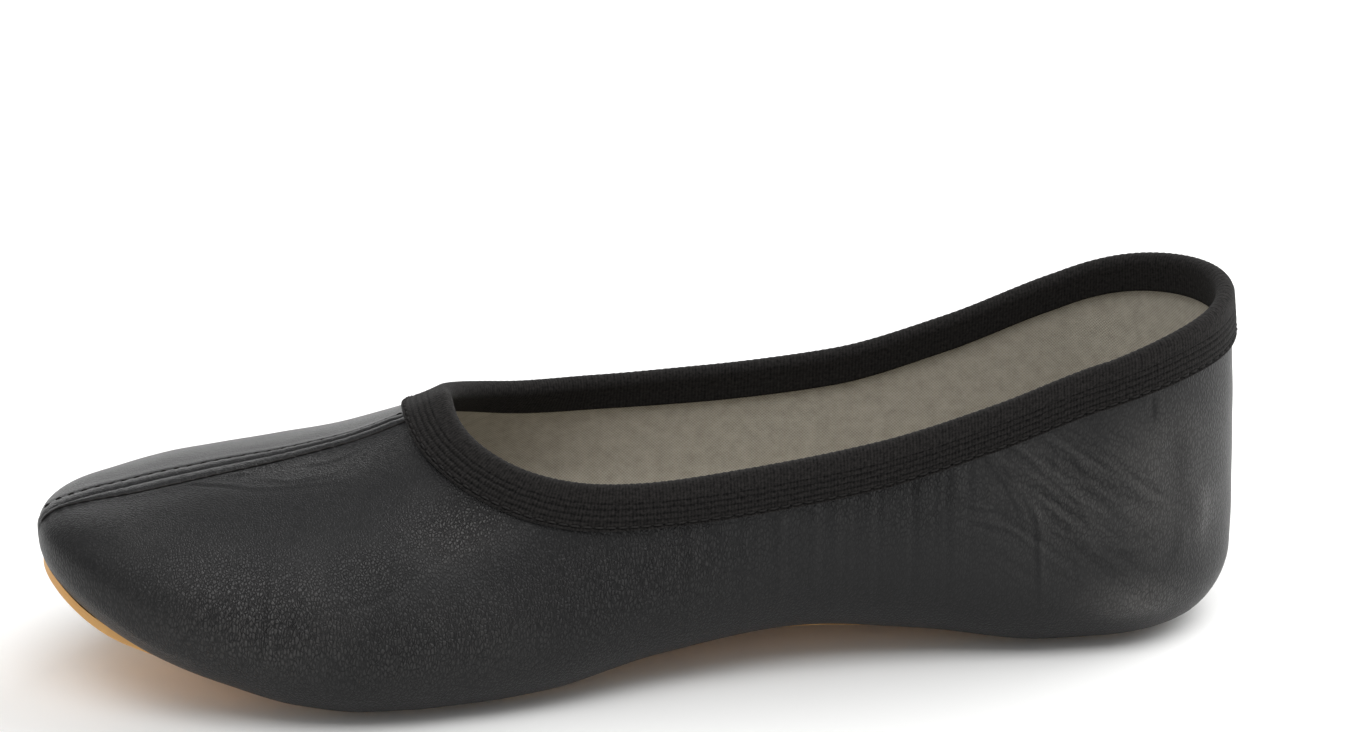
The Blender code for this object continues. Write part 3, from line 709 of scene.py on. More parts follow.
def black_nappa_leather(sizes, colours):
    """Drum-dyed nappa with a thin resin finish."""
    # A fine pebble grain, dull in its valleys, under a film that gives soft grey highlights
    # The film is the coat: it is thin in the grain's valleys and in the bottom of the folds
    material, add, join_shader = new_material(
        "black_nappa_leather",
        {"IOR": 1.43, "Specular IOR Level": 0.2, "Coat Roughness": 0.38, "Coat IOR": 1.47},
    )
    width = sizes.grain_width
    place = add("TexCoord", output="Object")
    rub, grain, drag, fold = (
        add("Attribute", output="Fac", attribute_name=name) for name in ("rub", "grain", "drag", "fold")
    )
    # Pebbles about twice as tall as wide, with their edges drifting out of line, and pores between
    tall = add("VectorMath", {0: place, 1: GRAIN_STRETCH}, operation="MULTIPLY")
    drift = add("TexNoise", {"Vector": place, "Scale": 0.25 / width, "Detail": 2.0}, "Color")
    moved = add("VectorMath", {0: drift, 1: (0.8 * width,) * 3, 2: tall}, operation="MULTIPLY_ADD")
    cells = add("TexVoronoi", {"Vector": moved, "Scale": 1 / width}, feature="DISTANCE_TO_EDGE")
    pebble = add("MapRange", {"Value": cells, "From Max": 0.3}, interpolation_type="SMOOTHSTEP")
    pores = add("TexNoise", {"Vector": tall, "Scale": 1.3 / width, "Detail": 2.0})
    relief = add("Math", {0: pores, 1: PORE_SHARE, 2: pebble}, operation="MULTIPLY_ADD")
    # The grain from 0 in its valleys to 1 on its tops, flattened where it doesn't stand out
    tops = add("MapRange", {"Value": relief, "From Min": 0.4, "From Max": 1.7})
    strength = add("MapRange", {"Value": grain, "To Min": 0.22, "To Max": 1.0})
    level = add("Mix", {"Factor": strength, "A": 0.5, "B": tops})
    # Long fine pull lines that slant down towards the heel
    slant = add("Mapping", vector_type="TEXTURE", inputs={
        "Vector": place,
        "Rotation": (0.0, math.radians(PULL_SLANT), 0.0),
        "Scale": tuple(size * MM for size in PULL_SIZE),
    })
    lines = add("TexNoise", {"Vector": slant, "Scale": 1.0, "Detail": 1.0})
    pulled = add("MapRange", {
        "Value": lines, "From Min": 0.3, "From Max": 0.7, "To Min": -0.5, "To Max": 0.5,
    })
    pull = add("Math", {0: pulled, 1: drag}, operation="MULTIPLY")
    height = add("Math", {0: pull, 1: PULL_SHARE, 2: level}, operation="MULTIPLY_ADD")
    # Lighter colour on the tops of the grain, in patches: dye rubbed off where the leather is handled, and
    # painted highlight on the crests and rolls of the folds and in the heel's ovals
    patches = add("TexNoise", {
        "Vector": place, "Scale": 1 / (RUB_PATCH * MM), "Detail": 3.0, "Roughness": 0.6,
    })
    uneven = add("MapRange", {"Value": patches, "From Min": 0.2, "From Max": 0.6})
    # Raised folds add to the lighter colour as painted highlight; troughs add nothing
    lighter_share = add("Math", {0: fold, 1: FOLD_HIGHLIGHT_SHARE, 2: rub}, operation="MULTIPLY_ADD")
    shown = add("Math", {0: height, 1: uneven}, operation="MULTIPLY")
    wear_and_highlight = add("Math", {0: lighter_share, 1: shown}, operation="MULTIPLY", use_clamp=True)
    dye_and_highlight = {"Factor": wear_and_highlight, "A": colours.leather, "B": colours.leather_wear_and_highlight}
    colour = add("Mix", dye_and_highlight, "Result", data_type="RGBA")
    rough = add("MapRange", {"Value": height, "To Min": 0.56, "To Max": 0.40})
    # The film: thick on the tops, burnished where it is rubbed
    film = add("MapRange", {
        "Value": fold, "From Min": -0.6, "From Max": 0.2, "To Min": 0.02, "To Max": 0.44,
    })
    burnish = add("Math", {0: rub, 1: 0.8, 2: 0.75}, operation="MULTIPLY_ADD")
    thick = add("MapRange", {"Value": height, "To Min": 0.02, "To Max": 1.8})
    burnished = add("Math", {0: film, 1: burnish}, operation="MULTIPLY")
    coat = add("Math", {0: burnished, 1: thick}, operation="MULTIPLY")
    bump = add("Bump", {"Height": height, "Strength": 1.0, "Distance": 0.27 * MM})
    join_shader({
        "Base Color": colour, "Roughness": rough, "Coat Weight": coat, "Normal": bump, "Coat Normal": bump,
    })
    return material


def woven_elastic(sizes, colours):
    """Narrow braided elastic of polyester over rubber threads."""
    # Matt black, with close ribs across the band whose tops are painted a little lighter, and cords along
    # its lower part whose grooves are painted darker, as painted highlight and shade. The real ribs are
    # about half a millimetre apart, and are drawn a little coarser so that they show
    material, add, join_shader = new_material("woven_elastic", {
        "Roughness": 0.9, "Sheen Weight": 0.03, "Sheen Roughness": 0.5, "Specular IOR Level": 0.1,
    })
    place = add("UVMap", uv_map="band_run")
    cord = add("Attribute", output="Fac", attribute_name="cord")
    run = add("SeparateXYZ", {"Vector": place}, "X")
    turn = add("Math", {0: run, 1: 2 * math.pi * MM / sizes.rib_pitch}, operation="MULTIPLY")
    wave = add("Math", {0: turn}, operation="SINE")
    fuzz = add("TexNoise", {"Vector": place, "Scale": 1 / ELASTIC_TUFT, "Detail": 4.0, "Roughness": 0.8})
    ribs = add("Math", {0: wave, 1: ELASTIC_RIB_SHARE, 2: fuzz}, operation="MULTIPLY_ADD")
    height = add("Math", {0: cord, 1: ELASTIC_CORD_SHARE, 2: ribs}, operation="MULTIPLY_ADD")
    # Rib tops come out lighter and cord grooves darker in the colour, as painted highlight and painted
    # shade, over the fuzz's random tone
    tone = add("MapRange", {"Value": height, "From Min": 0.30, "From Max": 0.72})
    yarn_and_groove_shade = {"Factor": tone, "A": colours.thread, "B": colours.elastic}
    colour = add("Mix", yarn_and_groove_shade, "Result", data_type="RGBA")
    bump = add("Bump", {"Height": height, "Strength": 0.8, "Distance": 0.25 * MM})
    join_shader({"Base Color": colour, "Normal": bump})
    return material


def twisted_thread(colours):
    """Twisted polyester sewing thread."""
    # Black and dull, with the fibres of the twist, which are finer in the real thread
    material, add, join_shader = new_material(
        "twisted_thread", {"Roughness": 0.8, "Specular IOR Level": 0.2}
    )
    place = add("TexCoord", output="Object")
    fibres = add("TexNoise", {"Vector": place, "Scale": 1 / (THREAD_FIBRE * MM), "Detail": 1.0})
    bump = add("Bump", {"Height": fibres, "Strength": 0.6, "Distance": 0.05 * MM})
    twist = {"Factor": fibres, "A": colours.thread, "B": colours.elastic}
    colour = add("Mix", twist, "Result", data_type="RGBA")
    join_shader({"Base Color": colour, "Normal": bump})
    return material


def moulded_gum_rubber(colours):
    """Unfilled natural rubber, pressed as a sheet."""
    # Warm amber with slow clouds, a dull gloss and the faint texture of the press plate
    material, add, join_shader = new_material("moulded_gum_rubber", {"IOR": 1.52})
    place = add("TexCoord", output="Object")
    clouds = add("TexNoise", {
        "Vector": place, "Scale": 1 / (GUM_CLOUD * MM), "Detail": 4.0, "Roughness": 0.6,
    })
    share = add("MapRange", {"Value": clouds, "From Min": 0.35, "From Max": 0.7})
    tint = {"Factor": share, "A": colours.gum, "B": colours.gum_dark}
    colour = add("Mix", tint, "Result", data_type="RGBA")
    plate = add("TexNoise", {"Vector": place, "Scale": 1 / (PRESS_GRIT * MM), "Detail": 2.0})
    rough = add("MapRange", {"Value": plate, "To Min": 0.5, "To Max": 0.7})
    bump = add("Bump", {"Height": plate, "Strength": 0.4, "Distance": 0.1 * MM})
    join_shader({"Base Color": colour, "Roughness": rough, "Normal": bump})
    return material


def plain_woven_cotton(name, light, dark, sizes):
    """Unbleached cotton in plain weave."""
    # Two sets of threads that pass over and under each other, with small gaps and a soft dull face. The
    # real threads are finer, and are drawn coarser so that they show
    material, add, join_shader = new_material(
        name, {"Roughness": 0.92, "Sheen Weight": 0.15, "Sheen Roughness": 0.6, "IOR": 1.45}
    )
    place = add("UVMap", uv_map="weave")
    waves = []
    for axis in ("X", "Y"):
        run = add("SeparateXYZ", {"Vector": place}, axis)
        turn = add("Math", {0: run, 1: 2 * math.pi * MM / sizes.weave_pitch}, operation="MULTIPLY")
        waves.append(add("Math", {0: turn}, operation="SINE"))
    crossing = add("Math", {0: waves[0], 1: waves[1]}, operation="MULTIPLY")
    slubs = add("TexNoise", {"Vector": place, "Scale": 1 / COTTON_SLUB, "Detail": 4.0, "Roughness": 0.7})
    height = add("Math", {0: crossing, 1: COTTON_WEAVE_SHARE, 2: slubs}, operation="MULTIPLY_ADD")
    tone = add("MapRange", {"Value": height, "From Min": 0.1, "From Max": 0.8})
    colour = add("Mix", {"Factor": tone, "A": dark, "B": light}, "Result", data_type="RGBA")
    bump = add("Bump", {"Height": height, "Strength": 0.7, "Distance": 0.15 * MM})
    join_shader({"Base Color": colour, "Normal": bump})
    return material


def matt_painted_board(stage):
    """Board with matt white paint."""
    # Pale and even, with a trace of roller texture and no gloss
    material, add, join_shader = new_material(
        "matt_painted_board", {"Base Color": stage.floor, "Roughness": 0.9, "IOR": 1.4}
    )
    place = add("TexCoord", output="Object")
    roller = add("TexNoise", {"Vector": place, "Scale": 1 / (ROLLER_MARK * MM), "Detail": 2.0})
    join_shader({"Normal": add("Bump", {"Height": roller, "Strength": 0.05, "Distance": 0.2 * MM})})
    return material


def leather_grid(outer_steps, inner_steps):
    """Grid of the leather's outer face, with each point's girth and distance below the opening's edge."""
    station, side = loop_columns(side_stations(outer_steps), side_stations(inner_steps))
    margin = np.linspace(EDGE_WIDTH + MARGIN_WIDTH, EDGE_WIDTH, MARGIN_ROWS + 1)[:-1]
    turns = np.linspace(np.pi / 2, 0, EDGE_ROWS + 1)[:-1]
    insets = np.concatenate((margin, EDGE_WIDTH * (1 - np.cos(turns))))
    low = low_point(station, side, insets[None, :])
    top = edge_angle(station, side, LEATHER_SHARE)
    wall = wall_point(station, side, top * np.linspace(0, 1, WALL_SAMPLES)[None, :])
    length = run_lengths(wall)[:, -1:]
    open_share = 1 - smooth_step(station, THROAT_START, THROAT_START + FOLD_LINE.reach)
    edge = np.minimum(TOP_LENGTH + TOP_OPEN_LENGTH * open_share, TOP_MOST * length)
    fine = np.minimum(edge + FINE_LENGTH, FINE_MOST * length)
    plain = (length - fine) * np.linspace(0, 1, PLAIN_ROWS + 1)[None, :-1]
    middle = (length - fine) + (fine - edge) * np.linspace(0, 1, FINE_ROWS + 1)[None, :-1]
    last = (length - edge) + edge * np.linspace(0, 1, TOP_ROWS + 1)[None, :]
    places = np.concatenate((plain, middle, last), axis=1)
    grid = np.concatenate((low, resample(wall, places)), axis=1)
    edge_run = run_lengths(np.concatenate((low, wall[:, :1]), axis=1))
    low_girth = edge_run[:, :-1] - edge_run[:, -1:]
    girth = np.concatenate((low_girth, places), axis=1)
    return station, side, grid, girth, length - girth


def wall_places(stations, side, girths):
    """Points of the leather at stations and girths; a negative girth lies below the widest line."""
    station = np.asarray(stations, float)[:, None]
    low = low_point(station, side, np.linspace(EDGE_WIDTH, 0, TURN_SAMPLES)[None, :])
    wall = wall_point(station, side, np.linspace(0, np.pi / 2, PATH_SAMPLES)[None, 1:])
    paths = np.concatenate((low, wall), axis=1)
    base = run_lengths(low)[:, -1]
    return resample(paths, (base + np.asarray(girths))[:, None])[:, 0]


def crease_line(crease):
    """Points along a crease on the leather's face, with its corners smoothed."""
    places = np.array(crease.places)
    run = run_lengths(places[None])[0]
    share = np.linspace(0, run[-1], CREASE_SAMPLES)
    line = np.stack([np.interp(share, run, places[:, axis]) for axis in range(2)], axis=1)
    for _ in range(CREASE_PASSES):
        line[1:-1] = (line[:-2] + 2 * line[1:-1] + line[2:]) / 4
    return wall_places(line[:, 0], crease.side, line[:, 1])


def crease_relief(points, normals, crease):
    """Height that a crease gives to points of the leather: a soft trough with a roll along one side."""
    line = crease_line(crease)
    reach = CREASE_REACH * crease.width
    near = np.all((points > line.min(axis=0) - reach) & (points < line.max(axis=0) + reach), axis=1)
    relief = np.zeros(len(points))
    if not near.any():
        return relief
    start, step = line[:-1], np.diff(line, axis=0)
    offset = points[near][:, None, :] - start[None, :, :]
    along = np.clip((offset * step).sum(axis=2) / (step * step).sum(axis=1), 0.0, 1.0)
    apart = offset - along[:, :, None] * step
    distance = np.linalg.norm(apart, axis=2)
    nearest = distance.argmin(axis=1)
    rows = np.arange(len(nearest))
    beside = np.cross(normals[near], step[nearest])
    signed = distance[rows, nearest] * np.sign((apart[rows, nearest] * beside).sum(axis=1))
    share = (nearest + along[rows, nearest]) / len(step)
    fade = np.sin(np.pi * np.clip(share, CREASE_END, 1 - CREASE_END)) ** CREASE_FADE
    trough = np.exp(-(signed / crease.width) ** 2)
    roll = np.exp(-(signed / crease.width - CREASE_ROLL_AT) ** 2)
    relief[near] = crease.depth * fade * (crease.lip * roll - trough)
    return relief


def pucker_relief(station, side, below):
    """Small folds below the band, as waves along it that die away down the wall."""
    along = station * side
    waves = sum(np.sin(2 * np.pi * along / wave + PUCKER_SHIFT * k) for k, wave in enumerate(PUCKER_WAVES))
    short, long = PUCKER_PATCHES
    loose = 0.5 + 0.5 * np.sin(along / short) * np.sin(along / long)
    stretch = smooth_step(station, PUCKER_FROM, PUCKER_FROM + PUCKER_RAMP)
    stretch = stretch * (1 - smooth_step(station, PUCKER_TO - PUCKER_RAMP, PUCKER_TO))
    fade = np.exp(-np.clip(below, 0.0, None) / PUCKER_FADE) * smooth_step(below, *PUCKER_TOP)
    share = PUCKER_LEAST + (1 - PUCKER_LEAST) * loose
    return waves / len(PUCKER_WAVES) * share * stretch * fade


def handled_share(station, side, girth, kind):
    """How far the leather is rubbed (with painted highlight in the colour), grained or dragged at each
    point, from 0 to 1.
    """
    share = np.zeros(len(station))
    for oval in HANDLED:
        off = ((station - oval.station) / oval.along) ** 2 + ((girth - oval.girth) / oval.up) ** 2
        share = np.maximum(share, np.where(side == oval.side, getattr(oval, kind) * np.exp(-off), 0.0))
    return share


def seam_line():
    """Middle line of the centre seam, from the throat over the toe to the widest line of its tip."""
    start = THROAT_START + LOWER_LINE.reach - SEAM_UNDER_BAND
    ridge = np.linspace(start, TOE_START + TOE_CAP * TOE_TOP_REACH, SEAM_RIDGE_SAMPLES)
    top = frame_point(ridge, SHAPE["swing"](ridge), SHAPE["crest"](ridge))
    front = wall_point(LENGTH, 1, np.linspace(np.pi / 2, 0, SEAM_FRONT_SAMPLES)[1:])
    return np.concatenate((top, front))


def near_tip(station, span):
    """Rise smoothly from 0 to 1 between two distances back from the toe's tip."""
    return smooth_step(station, LENGTH - span[0], LENGTH - span[1])


def seam_spread(station, side):
    """Share of the seam's usual width: narrow at the throat, and drawn in at the tip on the inner side."""
    share = SEAM_THROAT_SHARE + (SEAM_TOE_SHARE - SEAM_THROAT_SHARE) * near_tip(station, SEAM_WIDENS)
    return share * np.where(side < 0, 1 - SEAM_DRAW_IN * near_tip(station, SEAM_DRAWN), 1.0)


def seam_relief(points, pitch, height):
    """Two puffed ridges along the seam's middle line, with a stitch groove beyond each."""
    line = seam_line()
    run = run_lengths(line[None])[0]
    station = LENGTH / 2 - points[:, 0]
    aside = points[:, 1] - (FRAME_SHIFT + SHAPE["swing"](station))
    near = (np.abs(aside) < SEAM_REACH) & (station > THROAT_START + FOLD_LINE.reach)
    part, station, aside = points[near], station[near], aside[near]
    gap = np.linalg.norm(part[:, None, :] - line[None, ::2, :], axis=2)
    beat = np.cos(2 * np.pi * run[::2][gap.argmin(axis=1)] / pitch)
    off = np.abs(aside) / seam_spread(station, aside)
    inner, outer = SEAM_ROWS
    row = np.where(aside < 0, inner.at, outer.at)
    depth = np.where(aside < 0, inner.groove, outer.groove)
    puff = np.clip(1 - np.abs((off - SEAM_RIDGE) / SEAM_RIDGE_HALF) ** SEAM_PUFF_SIDE, 0.0, 1.0)
    ridge = height * puff ** SEAM_PUFF_TOP * (1 - SEAM_RIDGE_BEAT * beat)
    drawn = 1 - SEAM_GROOVE_BEAT * (1 - beat)
    groove = -depth * np.exp(-((off - row) / SEAM_GROOVE) ** 2) * drawn
    swell = SEAM_SWELL * np.exp(-((off - row - SEAM_SWELL_AT) / SEAM_SWELL_WIDTH) ** 2)
    band_end = THROAT_START + LOWER_LINE.reach
    ahead = SEAM_BAND_CLEAR + (1 - SEAM_BAND_CLEAR) * smooth_step(station, band_end, band_end + SEAM_FADE)
    widest = underside(station, 0) + SHAPE["widest"](station)
    above = smooth_step(part[:, 2], widest - SEAM_BELOW, widest + SEAM_FADE)
    tip = 1 - SEAM_TIP_LOSS * near_tip(station, SEAM_TIP)
    relief = np.zeros(len(points))
    relief[near] = (ridge + groove + swell) * ahead * above * tip
    return relief


def rim_faces(numbers, inner_numbers, coarse, outer_steps, inner_steps):
    """Faces that close a shell at its hem and round its mouth; the inner face has one column in so many."""
    count = len(numbers)
    mouth = mouth_columns(outer_steps)
    back_mouth = count - mouth_columns(inner_steps)
    faces = []
    for start in range(0, count, coarse):
        outer = [(start + k) % count for k in range(coarse + 1)]
        inner = [start // coarse, (start // coarse + 1) % len(inner_numbers)]
        faces.append(numbers[outer[::-1], 0].tolist() + inner_numbers[inner, 0].tolist())
        if start < mouth or start >= back_mouth:
            faces.append(numbers[outer, -1].tolist() + inner_numbers[inner[::-1], -1].tolist())
    return faces


def build_upper(sizes, colours):
    """Leather shell: a dense outer face with its relief, closed by a plain inner face."""
    station, side, grid, girth, depth = leather_grid(OUTER_STEPS, INNER_STEPS)
    points, numbers, first = weld(grid)
    quads = grid_quads(numbers)
    normals = point_normals(points, quads)
    below = depth - (COLLAR_CURVES["depth"](station) - LEATHER_BELOW_FOLD)
    station, side, girth, below = (
        np.broadcast_to(values, numbers.shape).reshape(-1)[first] for values in (station, side, girth, below)
    )
    height = sizes.pucker_height / MM * pucker_relief(station, side, below)
    # The fold mask carries the puckers' and creases' relief to the material: painted highlight on their
    # crests and rolls, and a thinner coat in their troughs
    fold = height / PUCKER_FULL
    for crease in CREASES:
        relief = sizes.crease_share * crease_relief(points, normals, crease)
        fold += relief / FOLD_FULL
        height += relief
    height += sum(swell * noise_field(points, size) for swell, size in LEATHER_SWELLS)
    clear = smooth_step(below, *RELIEF_BAND)
    band_end = THROAT_START + LOWER_LINE.reach
    ahead = smooth_step(station, THROAT_START + RELIEF_THROAT, band_end + RELIEF_AHEAD)
    height = height * np.maximum(clear, ahead) * smooth_step(girth, *RELIEF_HEM)
    height += seam_relief(points, sizes.stitch_pitch / MM, sizes.seam_height / MM)
    # Plain inner face, one leather's thickness in
    rows = np.unique(np.append(np.arange(0, grid.shape[1], COARSE), grid.shape[1] - 1))
    inner_grid = (points - normals * LEATHER_THICKNESS)[numbers][::COARSE][:, rows]
    inner_points, inner_numbers, _ = weld(inner_grid)
    inner_numbers = inner_numbers + len(points)
    faces = face_list(quads) + face_list(grid_quads(inner_numbers)[:, ::-1])
    faces += rim_faces(numbers, inner_numbers, COARSE, OUTER_STEPS, INNER_STEPS)
    shell = np.concatenate((points + normals * height[:, None], inner_points))
    leather = black_nappa_leather(sizes, colours)
    piece = new_piece("upper_leather", shell, faces, leather, "leather", "upper")
    # Masks for the material: fold paints highlight on raised folds, and the handled ovals give rubbed dye,
    # painted heel highlights, grain and drag
    set_mask(piece, "fold", np.clip(fold, -1.0, 1.0))
    for kind in ("rub", "grain", "drag"):
        set_mask(piece, kind, handled_share(station, side, girth, kind))


def build_lining(sizes, colours):
    """Cotton lining: a thin closed shell stuck inside the leather."""
    _, side, grid, girth, _ = leather_grid(LINING_STEPS, LINING_STEPS)
    # Every other row is enough for the plain cotton
    grid, girth = grid[:, ::2], girth[:, ::2]
    points, numbers, first = weld(grid)
    quads = grid_quads(numbers)
    normals = point_normals(points, quads)
    slack = LINING_SLACK * noise_field(points, LINING_PATCH)
    shell = np.concatenate((points - normals * LINING_START, points - normals * (WALL + slack)[:, None]))
    count = len(points)
    faces = face_list(quads) + face_list(quads[:, ::-1] + count)
    faces += rim_faces(numbers, numbers + count, 1, LINING_STEPS, LINING_STEPS)
    cotton = plain_woven_cotton("unbleached_cotton_lining", colours.cotton, colours.cotton_dark, sizes)
    piece = new_piece("lining_cotton", shell, faces, cotton, "cover")
    # Threads run along the widest line from the heel's back to the toe's tip on both sides, and up the wall
    run = loop_run(grid[:, (EDGE_ROWS + MARGIN_ROWS) // 2])[:-1]
    along = np.where(side[:, 0] > 0, run, 2 * run[sum(LINING_STEPS)] - run)
    threads = np.stack(np.broadcast_arrays(along[:, None], girth), axis=2).reshape(-1, 2)[first]
    set_thread_map(piece, "weave", np.concatenate((threads, threads)))


# Dense band: columns along each side, by stretch, rows of the leather face under it, and rows round its
# cut: the lower corner, outer face, fold, inner face, and the two faces that lie on the leather
BandSteps = namedtuple("BandSteps", "heel waist throat")
BAND_STEPS = BandSteps(90, 190, 100)
BAND_BASE_ROWS = 9
BandRows = namedtuple("BandRows", "corner face fold inside back front")
BAND_ROWS = BandRows(5, 46, 15, 12, 4, 5)
BAND_ROUND = 0.35
BAND_FOLD_RISE = 1.7
# Cords along the lower part of the band's face, up to a share of its width
BAND_PLAIN_SHARE = 0.62
BAND_PLAIN_FADE = 0.04
BAND_CORD_DEPTH = 0.22
BAND_CORD_WIDTH = 0.26
# Stitches at a share of its width: the dip that they draw in, how far they lie in it, and their share of
# the seam's pitch and of the stitch length
BAND_STITCH_SHARE = 0.085
BAND_STITCH_DIP = 0.22
BAND_STITCH_WIDTH = 0.35
BAND_STITCH_SINK = 0.2
BAND_STITCH_SCALE = 0.9
# Slow waves of the face, as height, length and shift, that start above its lower edge
BAND_WAVES = ((0.05, 7.1, 0.0), (0.04, 3.3, 1.0))
BAND_WAVE_SHARE = 0.3
PICOT_HEIGHT = 0.14


def band_base(steps):
    """Leather face under the band: points and outward directions, by column and share of its width."""
    quarter = np.pi / 2
    heel = HEEL_CAP * (1 - np.cos(np.linspace(0, quarter, steps.heel + 1)[:-1]))
    waist = np.linspace(HEEL_CAP, THROAT_START, steps.waist + 1)[:-1]
    turns = np.linspace(0, quarter, steps.throat + 1)
    stations = np.concatenate((heel, waist, np.full(len(turns), THROAT_START)))
    turns = np.concatenate((np.zeros(len(heel) + len(waist)), turns))
    station, side = loop_columns(stations, stations)
    turn = np.sin(loop_columns(turns, turns)[0])
    shares = np.linspace(0, 1, BAND_BASE_ROWS)[None, :]
    upper = station + FOLD_LINE.reach * turn
    lower = station + LOWER_LINE.reach * turn
    upper_angle = edge_angle(upper, side, 0.0)
    lower_angle = edge_angle(lower, side, 1.0)
    places = lower + (upper - lower) * shares
    base = wall_point(places, side, lower_angle + (upper_angle - lower_angle) * shares)
    around = np.roll(base, -1, axis=0) - np.roll(base, 1, axis=0)
    directions = np.cross(around, np.gradient(base, axis=1))
    directions /= np.linalg.norm(directions, axis=2, keepdims=True)
    return base, directions


def on_band(base, directions, share, out):
    """Points of the band at a share of its width and a distance out from the leather."""
    place = np.clip(share, 0.0, 1.0) * (base.shape[1] - 1)
    low = np.minimum(place.astype(int), base.shape[1] - 2)
    part = (place - low)[None, :, None]
    point = base[:, low] * (1 - part) + base[:, low + 1] * part
    direction = directions[:, low] * (1 - part) + directions[:, low + 1] * part
    direction = direction / np.linalg.norm(direction, axis=2, keepdims=True)
    return point + direction * np.asarray(out)[..., None]


def band_profile():
    """Outline of the band's cut, as shares of its width and distances out from the leather, with the
    places of its outer face and its fold in that outline."""
    face = BAND_GAP + BAND_THICKNESS
    back = -WALL - BAND_GAP
    inside = back - BAND_THICKNESS
    shoulder = 1 - BAND_FOLD_RISE / BAND_WIDTH
    foot = 1 - BAND_INSIDE_SHARE
    roof = 1 - (LEATHER_BELOW_FOLD - BAND_GAP) / BAND_WIDTH
    corner = np.linspace(-np.pi / 2, 0, BAND_ROWS.corner)[:-1]
    turn = np.linspace(0, np.pi, BAND_ROWS.fold)[1:-1]
    stretches = (
        (BAND_ROUND * (1 + np.sin(corner)) / BAND_WIDTH, face - BAND_ROUND * (1 - np.cos(corner))),
        (np.linspace(BAND_ROUND / BAND_WIDTH, shoulder, BAND_ROWS.face), face),
        (shoulder + (1 - shoulder) * np.sin(turn), (face + inside) / 2 + (face - inside) / 2 * np.cos(turn)),
        (np.linspace(shoulder, foot, BAND_ROWS.inside), inside),
        (np.linspace(foot, roof, BAND_ROWS.back), back),
        (np.linspace(roof, 0.0, BAND_ROWS.front), BAND_GAP),
    )
    pairs = [np.stack(np.broadcast_arrays(*stretch)) for stretch in stretches]
    share, out = np.concatenate(pairs, axis=1)
    ends = np.cumsum([pair.shape[1] for pair in pairs])
    return share, out, slice(ends[0], ends[1]), slice(ends[1], ends[2])


def build_collar(sizes, colours):
    """Elastic band folded over the leather's top edge, with cords along it and a looped fold."""
    base, directions = band_base(BAND_STEPS)
    share, out, face, fold = band_profile()
    along = loop_run(base[:, base.shape[1] // 2])
    pitch = sizes.cord_pitch / MM
    off_cord = np.abs((share * BAND_WIDTH / pitch) % 1.0 - 0.5) * pitch
    groove = -BAND_CORD_DEPTH * np.exp(-(off_cord / BAND_CORD_WIDTH) ** 2)
    groove = groove * (1 - smooth_step(share, BAND_PLAIN_SHARE - BAND_PLAIN_FADE, BAND_PLAIN_SHARE))
    off_row = (share - BAND_STITCH_SHARE) * BAND_WIDTH
    dip = -BAND_STITCH_DIP * np.exp(-(off_row / BAND_STITCH_WIDTH) ** 2)
    wave = sum(high * np.sin(along[:-1] / size + shift) for high, size, shift in BAND_WAVES)
    loops = PICOT_HEIGHT * (0.5 + 0.5 * np.cos(2 * np.pi * along[:-1] / (sizes.picot_pitch / MM)))
    on_face = np.zeros(len(share))
    on_face[face] = 1.0
    on_fold = np.zeros(len(share))
    on_fold[fold] = np.sin(np.linspace(0, np.pi, fold.stop - fold.start))
    relief = (groove + dip) * on_face + wave[:, None] * on_face * smooth_step(share, 0.0, BAND_WAVE_SHARE)
    grid = on_band(base, directions, share, out[None, :] + relief)
    grid[:, :, 2] += loops[:, None] * on_fold
    columns, rows = grid.shape[:2]
    faces = grid_quads(np.arange(columns * rows).reshape(columns, rows), ring=True).tolist()
    elastic = woven_elastic(sizes, colours)
    piece = new_piece("collar_band", grid.reshape(-1, 3), faces, elastic, "elastic", "collar_elastic")
    # The map runs along the band and round its cut, and reads on where the two loops close
    across = loop_run(grid[0])
    column, row = np.indices((columns, rows)).reshape(2, -1, 1)
    step, rise = np.array(((0, 1, 1, 0), (0, 0, 1, 1)))
    set_map(piece, "band_run", np.stack((along[column + step], across[row + rise]), axis=2))
    # The cord mask also darkens the grooves in the elastic's colour, as painted shade
    set_mask(piece, "cord", np.tile(groove * on_face / BAND_CORD_DEPTH, columns))


# Form of one stitch: a short thread that rises from the leather, dips back into it and tapers at its ends.
# Lift, sink and taper are shares of the thread's width
STITCH_SIDES = 8
STITCH_STEPS = 8
STITCH_LIFT = 0.9
STITCH_SINK = 0.9
STITCH_TAPER = 0.35


def stitch_mesh(centre, tangent, normal, length, width):
    """Points and faces of one stitch lying on a surface."""
    side = np.cross(normal, tangent)
    points, faces = [], []
    for step in range(STITCH_STEPS + 1):
        place = 2 * step / STITCH_STEPS - 1
        lift = width * (STITCH_LIFT - STITCH_SINK * place * place)
        girth = width / 2 * (1 - STITCH_TAPER * place ** 4)
        middle = centre + tangent * (place * length / 2) + normal * (lift - width / 2)
        for k in range(STITCH_SIDES):
            angle = 2 * np.pi * k / STITCH_SIDES
            points.append(middle + girth * (side * np.cos(angle) + normal * np.sin(angle)))
    for step in range(STITCH_STEPS):
        for k in range(STITCH_SIDES):
            a = step * STITCH_SIDES + k
            b = step * STITCH_SIDES + (k + 1) % STITCH_SIDES
            faces.append((a, a + STITCH_SIDES, b + STITCH_SIDES, b))
    end = STITCH_STEPS * STITCH_SIDES
    faces.append(tuple(range(STITCH_SIDES)))
    faces.append(tuple(end + k for k in reversed(range(STITCH_SIDES))))
    return points, faces


def join_meshes(parts):
    """Points and faces of several meshes as one."""
    points, faces = [], []
    for part_points, part_faces in parts:
        faces += [tuple(corner + len(points) for corner in face) for face in part_faces]
        points += part_points
    return points, faces


